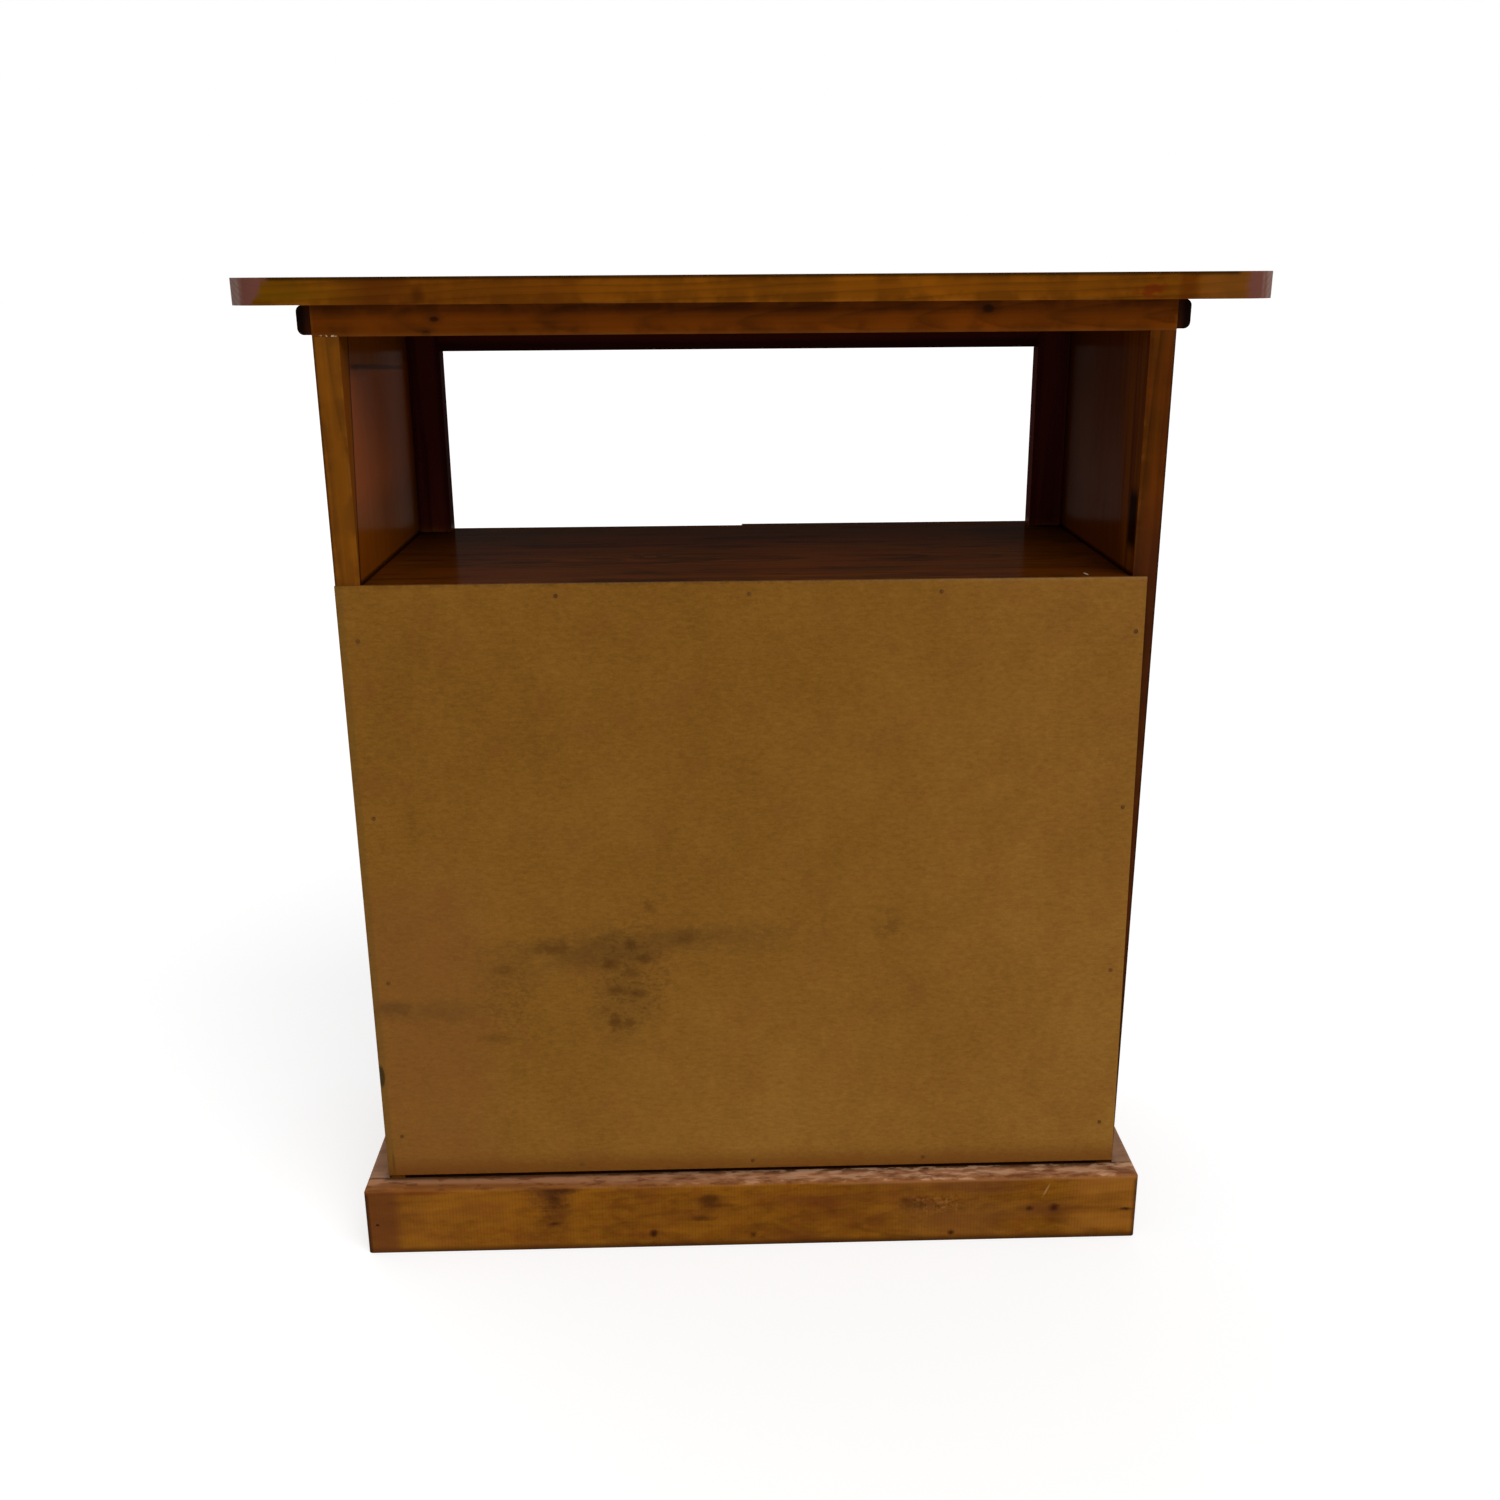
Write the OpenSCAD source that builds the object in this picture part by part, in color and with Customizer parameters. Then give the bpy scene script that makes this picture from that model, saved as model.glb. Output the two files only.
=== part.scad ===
// Accent cabinet in stained pine: an open bay under the top, over a cupboard with two doors.
// X runs to the right as seen from the front, Y runs to the back and Z runs up.
// The origin lies on the floor, under the middle of the whole cabinet.

/* [Carcass] */
// Width over the two side boards
carcass_w = 660; // [580:10:800]
// Height from the floor to the top surface
height = 845; // [800:5:950]
// Depth of the side boards, behind the face frame
side_d = 260; // [220:5:340]
// Thickness of the side boards
side_t = 20; // [18:1:25]
// Level of the surface of the bay's shelf above the floor
shelf_level = 611; // [560:1:640]
// Thickness of the bay's shelf
shelf_t = 20; // [16:1:25]
// Level of the surface of the bottom board above the floor
bottom_level = 85; // [80:1:95]
// Thickness of the bottom board
bottom_t = 20; // [16:1:25]
// Depth of the housings in the side boards that hold the shelf and the bottom board
housing_depth = 6; // [4:1:8]
// Thickness of the tongues in these housings, at both ends of the shelf and the bottom board
tongue_t = 10; // [8:1:12]
// Clearance round a board or tenon in its housing, notch or groove
joint_fit = 0.1; // [0.1:0.05:0.2]
// Height of the rail under the back edge of the top
rear_rail_h = 23; // [20:1:30]
// Thickness of the rail under the back edge of the top
rear_rail_t = 20; // [16:1:25]

/* [Top] */
// Thickness of the top
top_t = 20; // [18:1:28]
// Reach of the top past the left side board
top_over_left = 76; // [40:1:80]
// Reach of the top past the right side board
top_over_right = 62; // [40:1:80]
// Reach of the top past the face frame
top_over_front = 65; // [60:1:80]
// Reach of the top past the back edges of the side boards
top_over_rear = 10; // [0:1:15]
// Radius of the top's four corners, seen from above
top_corner_r = 30; // [20:1:40]
// Width of the rear one of the three planks that are glued edge to edge into the top
rear_plank_w = 115; // [100:1:130]
// Width of the middle plank of the top
middle_plank_w = 125; // [110:1:140]

/* [Mouldings under the top] */
// Height of the mouldings
moulding_h = 22; // [16:1:30]
// Thickness of the mouldings
moulding_t = 12; // [10:1:18]
// Radius of the mouldings' outer edges
moulding_r = 5; // [3:0.5:7]
// Distance from the back edge of the side board to the end of its moulding
moulding_setback = 6; // [2:1:20]

/* [Face frame] */
// Thickness of the face frame
frame_t = 20; // [18:1:24]
// Width of the face frame's stiles
frame_stile_w = 50; // [44:1:60]
// Height of the face frame's rail under the top
frame_top_rail_h = 46; // [40:1:60]
// Height of the face frame's rail in front of the bay's shelf
frame_mid_rail_h = 40; // [36:1:44]
// Height of the face frame's rail in front of the bottom board
frame_bottom_rail_h = 50; // [44:1:56]
// Diameter of the dowels that join the rails to the stiles
dowel_d = 8; // [6:1:8]
// Length of the dowels
dowel_len = 40; // [30:1:44]
// Distance from a rail's edges to the middles of its dowels
dowel_inset = 11; // [9:1:13]
// Clearance of a dowel in its hole, all round and at each end
dowel_fit = 0.1; // [0.05:0.05:0.2]

/* [Plinth] */
// Height of the plinth boards
plinth_h = 65; // [50:1:72]
// Thickness of the plinth boards
plinth_t = 20; // [16:1:24]
// Radius of the plinth's outer upper edges and of its corners
plinth_r = 3.5; // [2:0.5:6]
// Width and depth of the glue blocks in the plinth's corners
glue_block_w = 20; // [15:1:25]
// Height of the glue blocks
glue_block_h = 40; // [30:1:44]
// Height of the glue blocks' lower ends above the floor
glue_block_lift = 5; // [2:1:10]

/* [Back panel] */
// Thickness of the hardboard back
back_t = 3.2; // [2.5:0.1:5]
// Gap between the back panel's lower edge and the plinth
back_gap = 5; // [1:0.5:8]
// How far the back panel stops short of the left side board's face, at its top
back_short_top = 9; // [0:0.5:9]
// How far the back panel stops short of the left side board's face, at its foot
back_short_foot = 1; // [0:0.5:9]

/* [Doors] */
// Thickness of the doors
door_t = 20; // [18:1:24]
// Gap between the closed doors and the face frame
door_gap = 0.6; // [0.6:0.1:1.2]
// Gap between the two doors where they meet
meeting_gap = 2; // [1:0.5:4]
// Distance from the shelf's surface down to the left door's upper edge
door_top_drop = 2; // [0:0.5:6]
// How much lower the right door hangs than the left one
right_door_drop = 2; // [0:0.5:3]
// Gap between the left door's lower edge and the plinth
door_floor_gap = 5; // [4:0.5:8]
// Width of the door stiles
door_stile_w = 55; // [48:1:60]
// Height of the doors' upper rails
door_top_rail_h = 60; // [50:1:75]
// Height of the doors' lower rails
door_bottom_rail_h = 70; // [55:1:90]
// Width of the groove that holds the door panel
groove_w = 8; // [6:1:9]
// Depth of that groove
groove_depth = 10; // [8:1:12]
// Distance that a door panel's edge stops short of the bottom of its groove
panel_play = 1.5; // [1:0.5:3]
// Width of the bevel round the raised field of a door panel
bevel_w = 28; // [15:1:40]
// Depth of the raised field below the face of the door
field_recess = 1; // [0.5:0.5:3]

/* [Knobs] */
// Diameter of the knobs
knob_d = 32; // [24:1:36]
// Length of the knobs
knob_len = 26; // [22:1:30]
// Height of the knobs' oval heads
knob_head_h = 16; // [12:1:18]
// Diameter of the knobs' necks
knob_neck_d = 15; // [12:1:16]
// Reach of a knob's foot past its neck
knob_foot_over = 2; // [1:0.5:4]
// Height of a knob's foot
knob_foot_h = 3; // [2.5:0.5:4]
// Height of the straight edge of that foot
knob_foot_edge = 2; // [1:0.5:2]
// Level of the knobs above the floor
knob_level = 380; // [300:5:450]
// Diameter of the screws that hold the knobs
knob_screw_d = 4; // [3:0.5:5]
// Diameter of their heads
knob_screw_head_d = 8; // [6:0.5:10]
// Height of their heads
knob_screw_head_h = 2.4; // [1.5:0.1:3]
// How far these screws reach into the knobs
knob_screw_grip = 14; // [10:1:16]

/* [Hinges] */
// Height of a hinge
hinge_h = 50; // [40:1:70]
// Width of a hinge leaf, from the pin
hinge_leaf_w = 24; // [20:1:30]
// Thickness of a hinge leaf
hinge_leaf_t = 1.5; // [1.2:0.1:2]
// Diameter of the hinge knuckles
barrel_d = 6; // [5.6:0.1:6.4]
// Diameter of the hinge pins
hinge_pin_d = 3; // [2.5:0.1:3.4]
// Diameter of the heads at the pins' ends
pin_head_d = 4.6; // [4:0.1:5.4]
// Height of these heads
pin_head_h = 1.4; // [0.8:0.1:2]
// Clearance of a pin in its knuckles, all round
pin_fit = 0.05; // [0.02:0.01:0.1]
// Gap between two knuckles of a hinge
knuckle_gap = 0.4; // [0.3:0.1:0.8]
// Distance from the side board's face out to the hinge pins
pin_reach = 3.7; // [3.6:0.1:4.5]
// Distance from a door's end to the nearer end of its hinge
hinge_inset = 70; // [50:5:110]
// Distance from a hinge's ends to its screws
leaf_screw_inset = 10; // [7:0.5:14]

/* [Cupboard fittings] */
// Level of the surface of the shelf in the cupboard
inner_shelf_level = 345; // [250:5:420]
// Thickness of the shelf in the cupboard
inner_shelf_t = 18; // [16:1:22]
// Gap between the shelf in the cupboard and the boards round it
inner_shelf_gap = 1; // [0.5:0.5:3]
// Distance from the shelf's front edge to the face frame
inner_shelf_setback = 20; // [5:5:40]
// Diameter of the shelf pegs
peg_d = 5; // [4:1:7]
// Diameter of the pegs' collars
peg_collar_d = 9; // [8:1:12]
// Length that a peg stands out of the side board
peg_out = 10; // [8:1:14]
// Length of a peg's shank in the side board
peg_in = 10; // [6:1:12]
// Distance from the shelf's front and back edges to the pegs
peg_inset = 40; // [30:5:60]
// Width of a magnetic catch
catch_w = 46; // [40:1:60]
// Depth of a magnetic catch
catch_d = 16; // [14:1:18]
// Height of a magnetic catch
catch_h = 13; // [12:1:16]
// Distance from the cabinet's middle to the middle of each catch
catch_reach = 90; // [85:5:120]
// Width of the ears at a catch's ends
catch_ear_w = 9; // [8:0.5:10]
// Thickness of these ears
catch_ear_t = 3.5; // [3:0.1:4]
// Thickness of a catch's walls beside its magnet
catch_side_wall = 3; // [2:0.5:5]
// Thickness of its walls above and below the magnet
catch_cover_wall = 3.5; // [3:0.1:4]
// Thickness of its wall behind the magnet
catch_rear_wall = 5; // [3:0.5:7]
// Gap between a closed door's strike plate and its catch
catch_gap = 0.4; // [0.4:0.1:0.8]
// Thickness of the strike plates
strike_t = 1.2; // [1:0.1:1.6]
// How far a strike plate's ends lie inside its catch's ends
strike_end_margin = 4; // [2:0.5:6]
// How far its upper and lower edges lie inside its catch's
strike_edge_margin = 0.5; // [0.3:0.1:1.5]
// Distance from a strike plate's ends to its screws
strike_screw_inset = 5; // [4:0.5:8]

/* [Fasteners] */
// Diameter of the small countersunk screws of hinges, catches and strike plates
small_screw_d = 2.5; // [2:0.1:3]
// Diameter of their heads
small_screw_head_d = 5; // [4:0.5:5.5]
// Length of the small screws
small_screw_len = 11; // [8:1:13]
// Diameter of the screws that hold the top
top_screw_d = 4; // [3:0.5:5]
// Diameter of their heads
top_screw_head_d = 8; // [7:0.5:9]
// How far these screws reach into the top
top_screw_grip = 13; // [10:1:15]
// Distance from the side boards' inner faces to the outer ones of these screws
top_screw_inset = 93; // [70:1:120]
// Diameter of the back panel's nails
nail_d = 1.4; // [1:0.1:2]
// Diameter of their heads
nail_head_d = 3.4; // [3:0.1:4.5]
// Height of their heads
nail_head_h = 0.7; // [0.5:0.1:1]
// How far their heads stand proud of the panel
nail_head_proud = 0.3; // [0.1:0.1:0.4]
// Length of these nails
nail_len = 22; // [15:1:28]
// Distance from the side boards' outer faces to the nails in them
nail_edge = 15; // [13:0.5:16]
// Distance from the shelf's underside, and from the bottom board's surface, to the nails beyond
nail_margin = 25; // [15:1:60]
// Distance between the nails in the shelf's edge, and between those in the bottom board's
nail_spacing = 155; // [100:5:170]
// Diameter of the plinth's nails
plinth_nail_d = 2; // [1.5:0.1:3]
// Diameter of their heads
plinth_nail_head_d = 3.2; // [3.1:0.1:4]
// Height of their heads
plinth_nail_head_h = 1; // [0.5:0.1:1.5]
// Length of the plinth's nails
plinth_nail_len = 38; // [32:1:45]
// Level of the plinth's nails above the floor
plinth_nail_level = 29; // [20:1:45]
// Distance from the carcass's back and from its front to the nails in the plinth's side boards
plinth_nail_inset = 60; // [45:5:80]
// Depth of these nails' heads below the plinth's surface
plinth_nail_sink = 0.6; // [0.2:0.1:1.5]
// Width of the slots across the screws' heads
slot_w = 0.9; // [0.6:0.1:1.2]
// Depth of these slots
slot_depth = 0.9; // [0.6:0.1:1.1]
// Clearance round a screw or nail in its hole
screw_fit = 0.05; // [0.02:0.01:0.1]

/* [Hidden] */
$fn = 48;

// Sides: what has a side argument is drawn for the right side and mirrored for the left
LEFT = -1;
RIGHT = 1;
// Small distance by which a cut passes the surface that it opens
over = 1;

// Faces of the carcass, from its middle outwards
side_x = carcass_w / 2;
inner_x = side_x - side_t;
frame_inner_x = side_x - frame_stile_w;

// The whole cabinet's box is centred on the origin in X, so the carcass's middle stands beside it
top_w = carcass_w + top_over_left + top_over_right;
middle_x = (top_over_left - top_over_right) / 2;

// The box is centred on the origin in Y too
rear_reach = max(plinth_t, top_over_rear);
rear_y = (side_d + frame_t + top_over_front - rear_reach) / 2;
frame_back_y = rear_y - side_d;
front_y = frame_back_y - frame_t;
door_back_y = front_y - door_gap;
door_front_y = door_back_y - door_t;
door_mid_y = (door_back_y + door_front_y) / 2;
pin_y = front_y - door_gap / 2;
pin_x = side_x + pin_reach;
top_rear_y = rear_y + top_over_rear;
top_front_y = front_y - top_over_front;
rear_joint_y = top_rear_y - rear_plank_w;
front_joint_y = rear_joint_y - middle_plank_w;
inner_shelf_front_y = frame_back_y + inner_shelf_setback;
inner_shelf_back_y = rear_y - inner_shelf_gap;

// Levels
under_top = height - top_t;
rear_rail_z = under_top - rear_rail_h;
mid_rail_z = shelf_level - frame_mid_rail_h;
back_foot_z = plinth_h + back_gap;

// Colours
PINE = "peru";
DARK_PINE = "sienna";
HARDBOARD = "goldenrod";
BRASS = "gold";
STEEL = "silver";
BROWN_PLASTIC = "saddlebrown";

// A box between its low corner and its high corner
module block(low, high) {
    translate(low)
        cube(high - low);
}

// Puts what is drawn round the carcass's middle in its place
module in_place() {
    translate([middle_x, 0, 0])
        children();
}

// Puts the right side's shape on the given side
module on_side(side) {
    in_place() {
        if (side == RIGHT)
            children();
        else
            mirror([1, 0, 0])
                children();
    }
}

// Turns a shape that is drawn along Z so that it points to the back
module to_back() {
    rotate([-90, 0, 0])
        children();
}

// Turns a shape that is drawn along Z so that it points to the front
module to_front() {
    rotate([90, 0, 0])
        children();
}

// The slot across a screw's head whose face is at z = 0
module slot(head_d) {
    block([-head_d / 2 - over, -slot_w / 2, -over], [head_d / 2 + over, slot_w / 2, slot_depth]);
}

// A slotted countersunk screw along Z, with its head's face at the origin; grow is the room round
// it, which makes it the hole for one, open above the head
module screw(d, head_d, len, grow = 0) {
    difference() {
        union() {
            cylinder(h = (head_d - d) / 2, d1 = head_d + 2 * grow, d2 = d + 2 * grow);
            cylinder(h = len + grow, d = d + 2 * grow);
        }
        if (grow == 0)
            slot(head_d);
    }
    if (grow > 0)
        translate([0, 0, -over])
            cylinder(h = over, d = head_d + 2 * grow);
}

// A small countersunk screw, or with its clearance the hole for one
module small_screw(grow = 0) {
    screw(small_screw_d, small_screw_head_d, small_screw_len, grow);
}

// A nail along Z: head_h of head, then the shank; grow is the room round it
module nail(d, head_d, head_h, len, grow = 0) {
    cylinder(h = head_h, d = head_d + 2 * grow);
    cylinder(h = len + grow, d = d + 2 * grow);
}

// A rectangle round the origin with round corners
module rounded(w, d, r) {
    square([w - 2 * r, d], center = true);
    square([w, d - 2 * r], center = true);
    for (x = [-1, 1], y = [-1, 1])
        translate([x * (w / 2 - r), y * (d / 2 - r)])
            circle(r);
}

// Outline of the whole top, as a plate, with its round corners
module top_plate() {
    d = top_rear_y - top_front_y;
    translate([0, top_rear_y - d / 2, under_top])
        linear_extrude(top_t)
            rounded(top_w, d, top_corner_r);
}

// The part of the top between two places along Y, with the holes for its screws
module top_plank(front, back) {
    reach = top_w / 2 + over;
    color(PINE)
        difference() {
            intersection() {
                top_plate();
                block([-reach, front, under_top - over], [reach, back, height + over]);
            }
            top_fixings(screw_fit);
        }
}

module top_plank_rear() {
    top_plank(rear_joint_y, top_rear_y + over);
}

module top_plank_middle() {
    top_plank(front_joint_y, rear_joint_y);
}

module top_plank_front() {
    top_plank(top_front_y - over, front_joint_y);
}

// Screws up through the rear rail and through the face frame's upper rail, which is bored out
// below their heads so that all of them are of one length
top_screw_xs = [top_screw_inset - inner_x, 0, inner_x - top_screw_inset];
frame_screw_seat = rear_rail_h;

module top_fixings(grow = 0) {
    in_place()
        for (x = top_screw_xs) {
            translate([x, rear_y - rear_rail_t / 2, rear_rail_z])
                screw(top_screw_d, top_screw_head_d, rear_rail_h + top_screw_grip, grow);
            translate([x, front_y + frame_t / 2, under_top - frame_screw_seat])
                screw(top_screw_d, top_screw_head_d, frame_screw_seat + top_screw_grip, grow);
        }
}

module top_screws() {
    color(STEEL)
        top_fixings();
}

module rear_top_rail() {
    color(DARK_PINE)
        difference() {
            in_place()
                block([-side_x, rear_y - rear_rail_t, rear_rail_z], [side_x, rear_y, under_top]);
            top_fixings(screw_fit);
        }
}

// The room in the right side board for the tongue of a board whose underside is at the level
module housing(level) {
    block(
        [inner_x - over, frame_back_y - over, level - joint_fit],
        [inner_x + housing_depth + joint_fit, rear_y + over, level + tongue_t + joint_fit]
    );
}

// A side board, housed for the shelf and the bottom board and cut out for the rear rail
module side_panel(side) {
    color(PINE)
        difference() {
            on_side(side)
                difference() {
                    block([inner_x, frame_back_y, 0], [side_x, rear_y, under_top]);
                    block(
                        [inner_x - over, rear_y - rear_rail_t - joint_fit, rear_rail_z - joint_fit],
                        [side_x + over, rear_y + over, under_top + over]
                    );
                    housing(shelf_level - shelf_t);
                    housing(bottom_level - bottom_t);
                    pegs(screw_fit);
                    plinth_side_nails(screw_fit);
                }
            back_nailing(screw_fit);
        }
}

// A board that fits between the side boards, with a tongue in each of them under its shoulders
module housed_board(level, t) {
    tongue_x = inner_x + housing_depth;
    foot_z = level - t;
    color(PINE)
        difference() {
            in_place() {
                block([-inner_x, frame_back_y, foot_z], [inner_x, rear_y, level]);
                block([-tongue_x, frame_back_y, foot_z], [tongue_x, rear_y, foot_z + tongue_t]);
            }
            back_nailing(screw_fit);
        }
}

module bay_shelf() {
    housed_board(shelf_level, shelf_t);
}

module bottom_board() {
    housed_board(bottom_level, bottom_t);
}

// The loose shelf in the cupboard
module inner_shelf() {
    x = inner_x - inner_shelf_gap;
    color(PINE)
        in_place()
            block(
                [-x, inner_shelf_front_y, inner_shelf_level - inner_shelf_t],
                [x, inner_shelf_back_y, inner_shelf_level]
            );
}

// The shelf's two pegs on the right, or with their clearance the holes for them
module pegs(grow = 0) {
    z = inner_shelf_level - inner_shelf_t - peg_collar_d / 2;
    for (y = [inner_shelf_front_y + peg_inset, inner_shelf_back_y - peg_inset])
        translate([inner_x, y, z])
            rotate([0, 90, 0]) {
                cylinder(h = peg_in + grow, d = peg_d + 2 * grow);
                translate([0, 0, -peg_out])
                    cylinder(h = peg_out, d = peg_collar_d);
            }
}

module shelf_pegs() {
    color(BRASS)
        for (side = [LEFT, RIGHT])
            on_side(side)
                pegs();
}

// Rails of the face frame, each as its lower level and its height
RAILS = [
    [under_top - frame_top_rail_h, frame_top_rail_h],
    [mid_rail_z, frame_mid_rail_h],
    [bottom_level - frame_bottom_rail_h, frame_bottom_rail_h]
];

// Two dowels in each joint of the right stile
module stile_dowels(grow = 0) {
    for (rail = RAILS, z = [rail[0] + dowel_inset, rail[0] + rail[1] - dowel_inset])
        translate([frame_inner_x, front_y + frame_t / 2, z])
            rotate([0, 90, 0])
                cylinder(h = dowel_len + 2 * grow, d = dowel_d + 2 * grow, center = true);
}

module face_frame_dowels() {
    color(PINE)
        for (side = [LEFT, RIGHT])
            on_side(side)
                stile_dowels();
}

// A stile of the face frame, with its dowel holes and the recesses for the hinges
module frame_stile(side) {
    color(PINE)
        on_side(side)
            difference() {
                block([frame_inner_x, front_y, 0], [side_x, frame_back_y, under_top]);
                stile_dowels(dowel_fit);
                for (z = hinge_levels(side))
                    translate([0, 0, z]) {
                        leaf_recess(front_y - over, front_y + hinge_leaf_t + joint_fit);
                        frame_leaf_screws(screw_fit);
                    }
            }
}

// A rail of the face frame; the screws and dowels that miss it cut nothing
module frame_rail(rail) {
    color(PINE)
        difference() {
            in_place()
                block(
                    [-frame_inner_x, front_y, rail[0]],
                    [frame_inner_x, frame_back_y, rail[0] + rail[1]]
                );
            for (side = [LEFT, RIGHT])
                on_side(side) {
                    stile_dowels(dowel_fit);
                    catch_screw_pair(screw_fit);
                }
            top_fixings(screw_fit);
            in_place()
                for (x = top_screw_xs)
                    translate([x, front_y + frame_t / 2, under_top - frame_top_rail_h - over])
                        cylinder(
                            h = frame_top_rail_h - frame_screw_seat + over,
                            d = top_screw_head_d + 2 * screw_fit
                        );
        }
}

module frame_top_rail() {
    frame_rail(RAILS[0]);
}

module frame_mid_rail() {
    frame_rail(RAILS[1]);
}

module frame_bottom_rail() {
    frame_rail(RAILS[2]);
}

// Section of the mouldings, with its inner upper corner at the origin
module moulding_section() {
    translate([0, -moulding_h]) {
        square([moulding_t - moulding_r, moulding_h]);
        translate([0, moulding_r])
            square([moulding_t, moulding_h - 2 * moulding_r]);
        for (y = [moulding_r, moulding_h - moulding_r])
            translate([moulding_t - moulding_r, y])
                circle(moulding_r);
    }
}

// A plate that holds a moulding's plan, to cut its mitres
module moulding_plan(points) {
    translate([0, 0, under_top - moulding_h - over])
        linear_extrude(moulding_h + 2 * over)
            polygon(points);
}

// A side moulding, mitred at the front and square at the back
module side_moulding(side) {
    back_y = rear_y - moulding_setback;
    outer_x = side_x + moulding_t;
    color(DARK_PINE)
        on_side(side)
            intersection() {
                translate([side_x, back_y, under_top])
                    rotate([90, 0, 0])
                        linear_extrude(back_y - front_y + moulding_t)
                            moulding_section();
                moulding_plan([
                    [side_x, front_y],
                    [outer_x, front_y - moulding_t],
                    [outer_x, back_y + over],
                    [side_x, back_y + over]
                ]);
            }
}

// The front moulding, mitred at both ends
module front_top_moulding() {
    outer_x = side_x + moulding_t;
    color(DARK_PINE)
        in_place()
            intersection() {
                translate([outer_x, front_y, under_top])
                    rotate([90, 0, -90])
                        linear_extrude(2 * outer_x)
                            moulding_section();
                moulding_plan([
                    [-side_x, front_y],
                    [side_x, front_y],
                    [outer_x, front_y - moulding_t],
                    [-outer_x, front_y - moulding_t]
                ]);
            }
}

// The hardboard back, cut out of square at its left edge
module back_panel() {
    color(HARDBOARD)
        difference() {
            in_place()
                translate([0, rear_y + back_t, 0])
                    rotate([90, 0, 0])
                        linear_extrude(back_t)
                            polygon([
                                [side_x, back_foot_z],
                                [side_x, shelf_level],
                                [back_short_top - side_x, shelf_level],
                                [back_short_foot - side_x, back_foot_z]
                            ]);
            back_nailing(screw_fit);
        }
}

// Places of the back panel's nails, as [x, z]: up both side boards, and along both boards across
NAIL_ROWS = 4;
nail_x = side_x - nail_edge;
nail_low_z = bottom_level + nail_margin;
nail_high_z = shelf_level - shelf_t - nail_margin;
nail_step = (nail_high_z - nail_low_z) / (NAIL_ROWS - 1);
cross_nail_zs = [(back_foot_z + bottom_level) / 2, shelf_level - shelf_t / 2];
back_nails = concat(
    [for (x = [-nail_x, nail_x], i = [0 : NAIL_ROWS - 1]) [x, nail_low_z + i * nail_step]],
    [for (i = [-1 : 1], z = cross_nail_zs) [i * nail_spacing, z]]
);

// The back panel's nails, or with their clearance the holes for them
module back_nailing(grow = 0) {
    in_place()
        for (p = back_nails)
            translate([p[0], rear_y + back_t + nail_head_proud, p[1]])
                to_front()
                    nail(nail_d, nail_head_d, nail_head_h, nail_len, grow);
}

module back_panel_nails() {
    color(STEEL)
        back_nailing();
}

// A plinth nail along Z, or with its clearance the hole for one, which is open above the head
module plinth_nail(grow = 0) {
    translate([0, 0, plinth_nail_sink])
        nail(plinth_nail_d, plinth_nail_head_d, plinth_nail_head_h, plinth_nail_len, grow);
    if (grow > 0)
        translate([0, 0, -over])
            cylinder(h = plinth_nail_sink + over, d = plinth_nail_head_d + 2 * grow);
}

// The two nails through the plinth's right board into the side board
module plinth_side_nails(grow = 0) {
    for (y = [rear_y - plinth_nail_inset, front_y + plinth_nail_inset])
        translate([side_x + plinth_t, y, plinth_nail_level])
            rotate([0, -90, 0])
                plinth_nail(grow);
}

// The nails through the right ends of the plinth's rear and front boards into its right board
module plinth_end_nails(grow = 0) {
    x = side_x + plinth_t / 2;
    translate([x, rear_y + plinth_t, plinth_nail_level])
        to_front()
            plinth_nail(grow);
    translate([x, front_y - plinth_t, plinth_nail_level])
        to_back()
            plinth_nail(grow);
}

module plinth_nails() {
    color(STEEL)
        for (side = [LEFT, RIGHT])
            on_side(side) {
                plinth_side_nails();
                plinth_end_nails();
            }
}

// Section across the plinth's boards and the room between them, with its upper edges rounded
module plinth_section(w) {
    translate([-w / 2, -over])
        square([w, plinth_h - plinth_r + over]);
    translate([0, plinth_h / 2])
        rounded(w, plinth_h, plinth_r);
}

// The plinth's boards and the room between them in one piece, with its outer edges rounded
module plinth_body() {
    w = 2 * (side_x + plinth_t);
    d = rear_y - front_y + 2 * plinth_t;
    in_place()
        translate([0, (front_y + rear_y) / 2, 0])
            intersection() {
                linear_extrude(plinth_h)
                    rounded(w, d, plinth_r);
                translate([0, d / 2 + over, 0])
                    rotate([90, 0, 0])
                        linear_extrude(d + 2 * over)
                            plinth_section(w);
                translate([-w / 2 - over, 0, 0])
                    rotate([90, 0, 90])
                        linear_extrude(w + 2 * over)
                            plinth_section(d);
            }
}

// A plinth board across the cabinet, between two places along Y
module plinth_cross_board(front, back) {
    x = side_x + plinth_t + over;
    color(PINE)
        difference() {
            intersection() {
                plinth_body();
                in_place()
                    block([-x, front, -over], [x, back, plinth_h + over]);
            }
            for (side = [LEFT, RIGHT])
                on_side(side)
                    plinth_end_nails(screw_fit);
        }
}

module plinth_rear_board() {
    plinth_cross_board(rear_y, rear_y + plinth_t + over);
}

module plinth_front_board() {
    plinth_cross_board(front_y - plinth_t - over, front_y);
}

module plinth_side_board(side) {
    color(PINE)
        difference() {
            intersection() {
                plinth_body();
                on_side(side)
                    block([side_x, front_y, -over], [side_x + plinth_t + over, rear_y, plinth_h + over]);
            }
            on_side(side) {
                plinth_side_nails(screw_fit);
                plinth_end_nails(screw_fit);
            }
        }
}

// Blocks glued into the carcass's four lower corners
module plinth_glue_blocks() {
    color(PINE)
        for (side = [LEFT, RIGHT], y = [frame_back_y, rear_y - glue_block_w])
            on_side(side)
                block(
                    [inner_x - glue_block_w, y, glue_block_lift],
                    [inner_x, y + glue_block_w, glue_block_lift + glue_block_h]
                );
}

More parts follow.
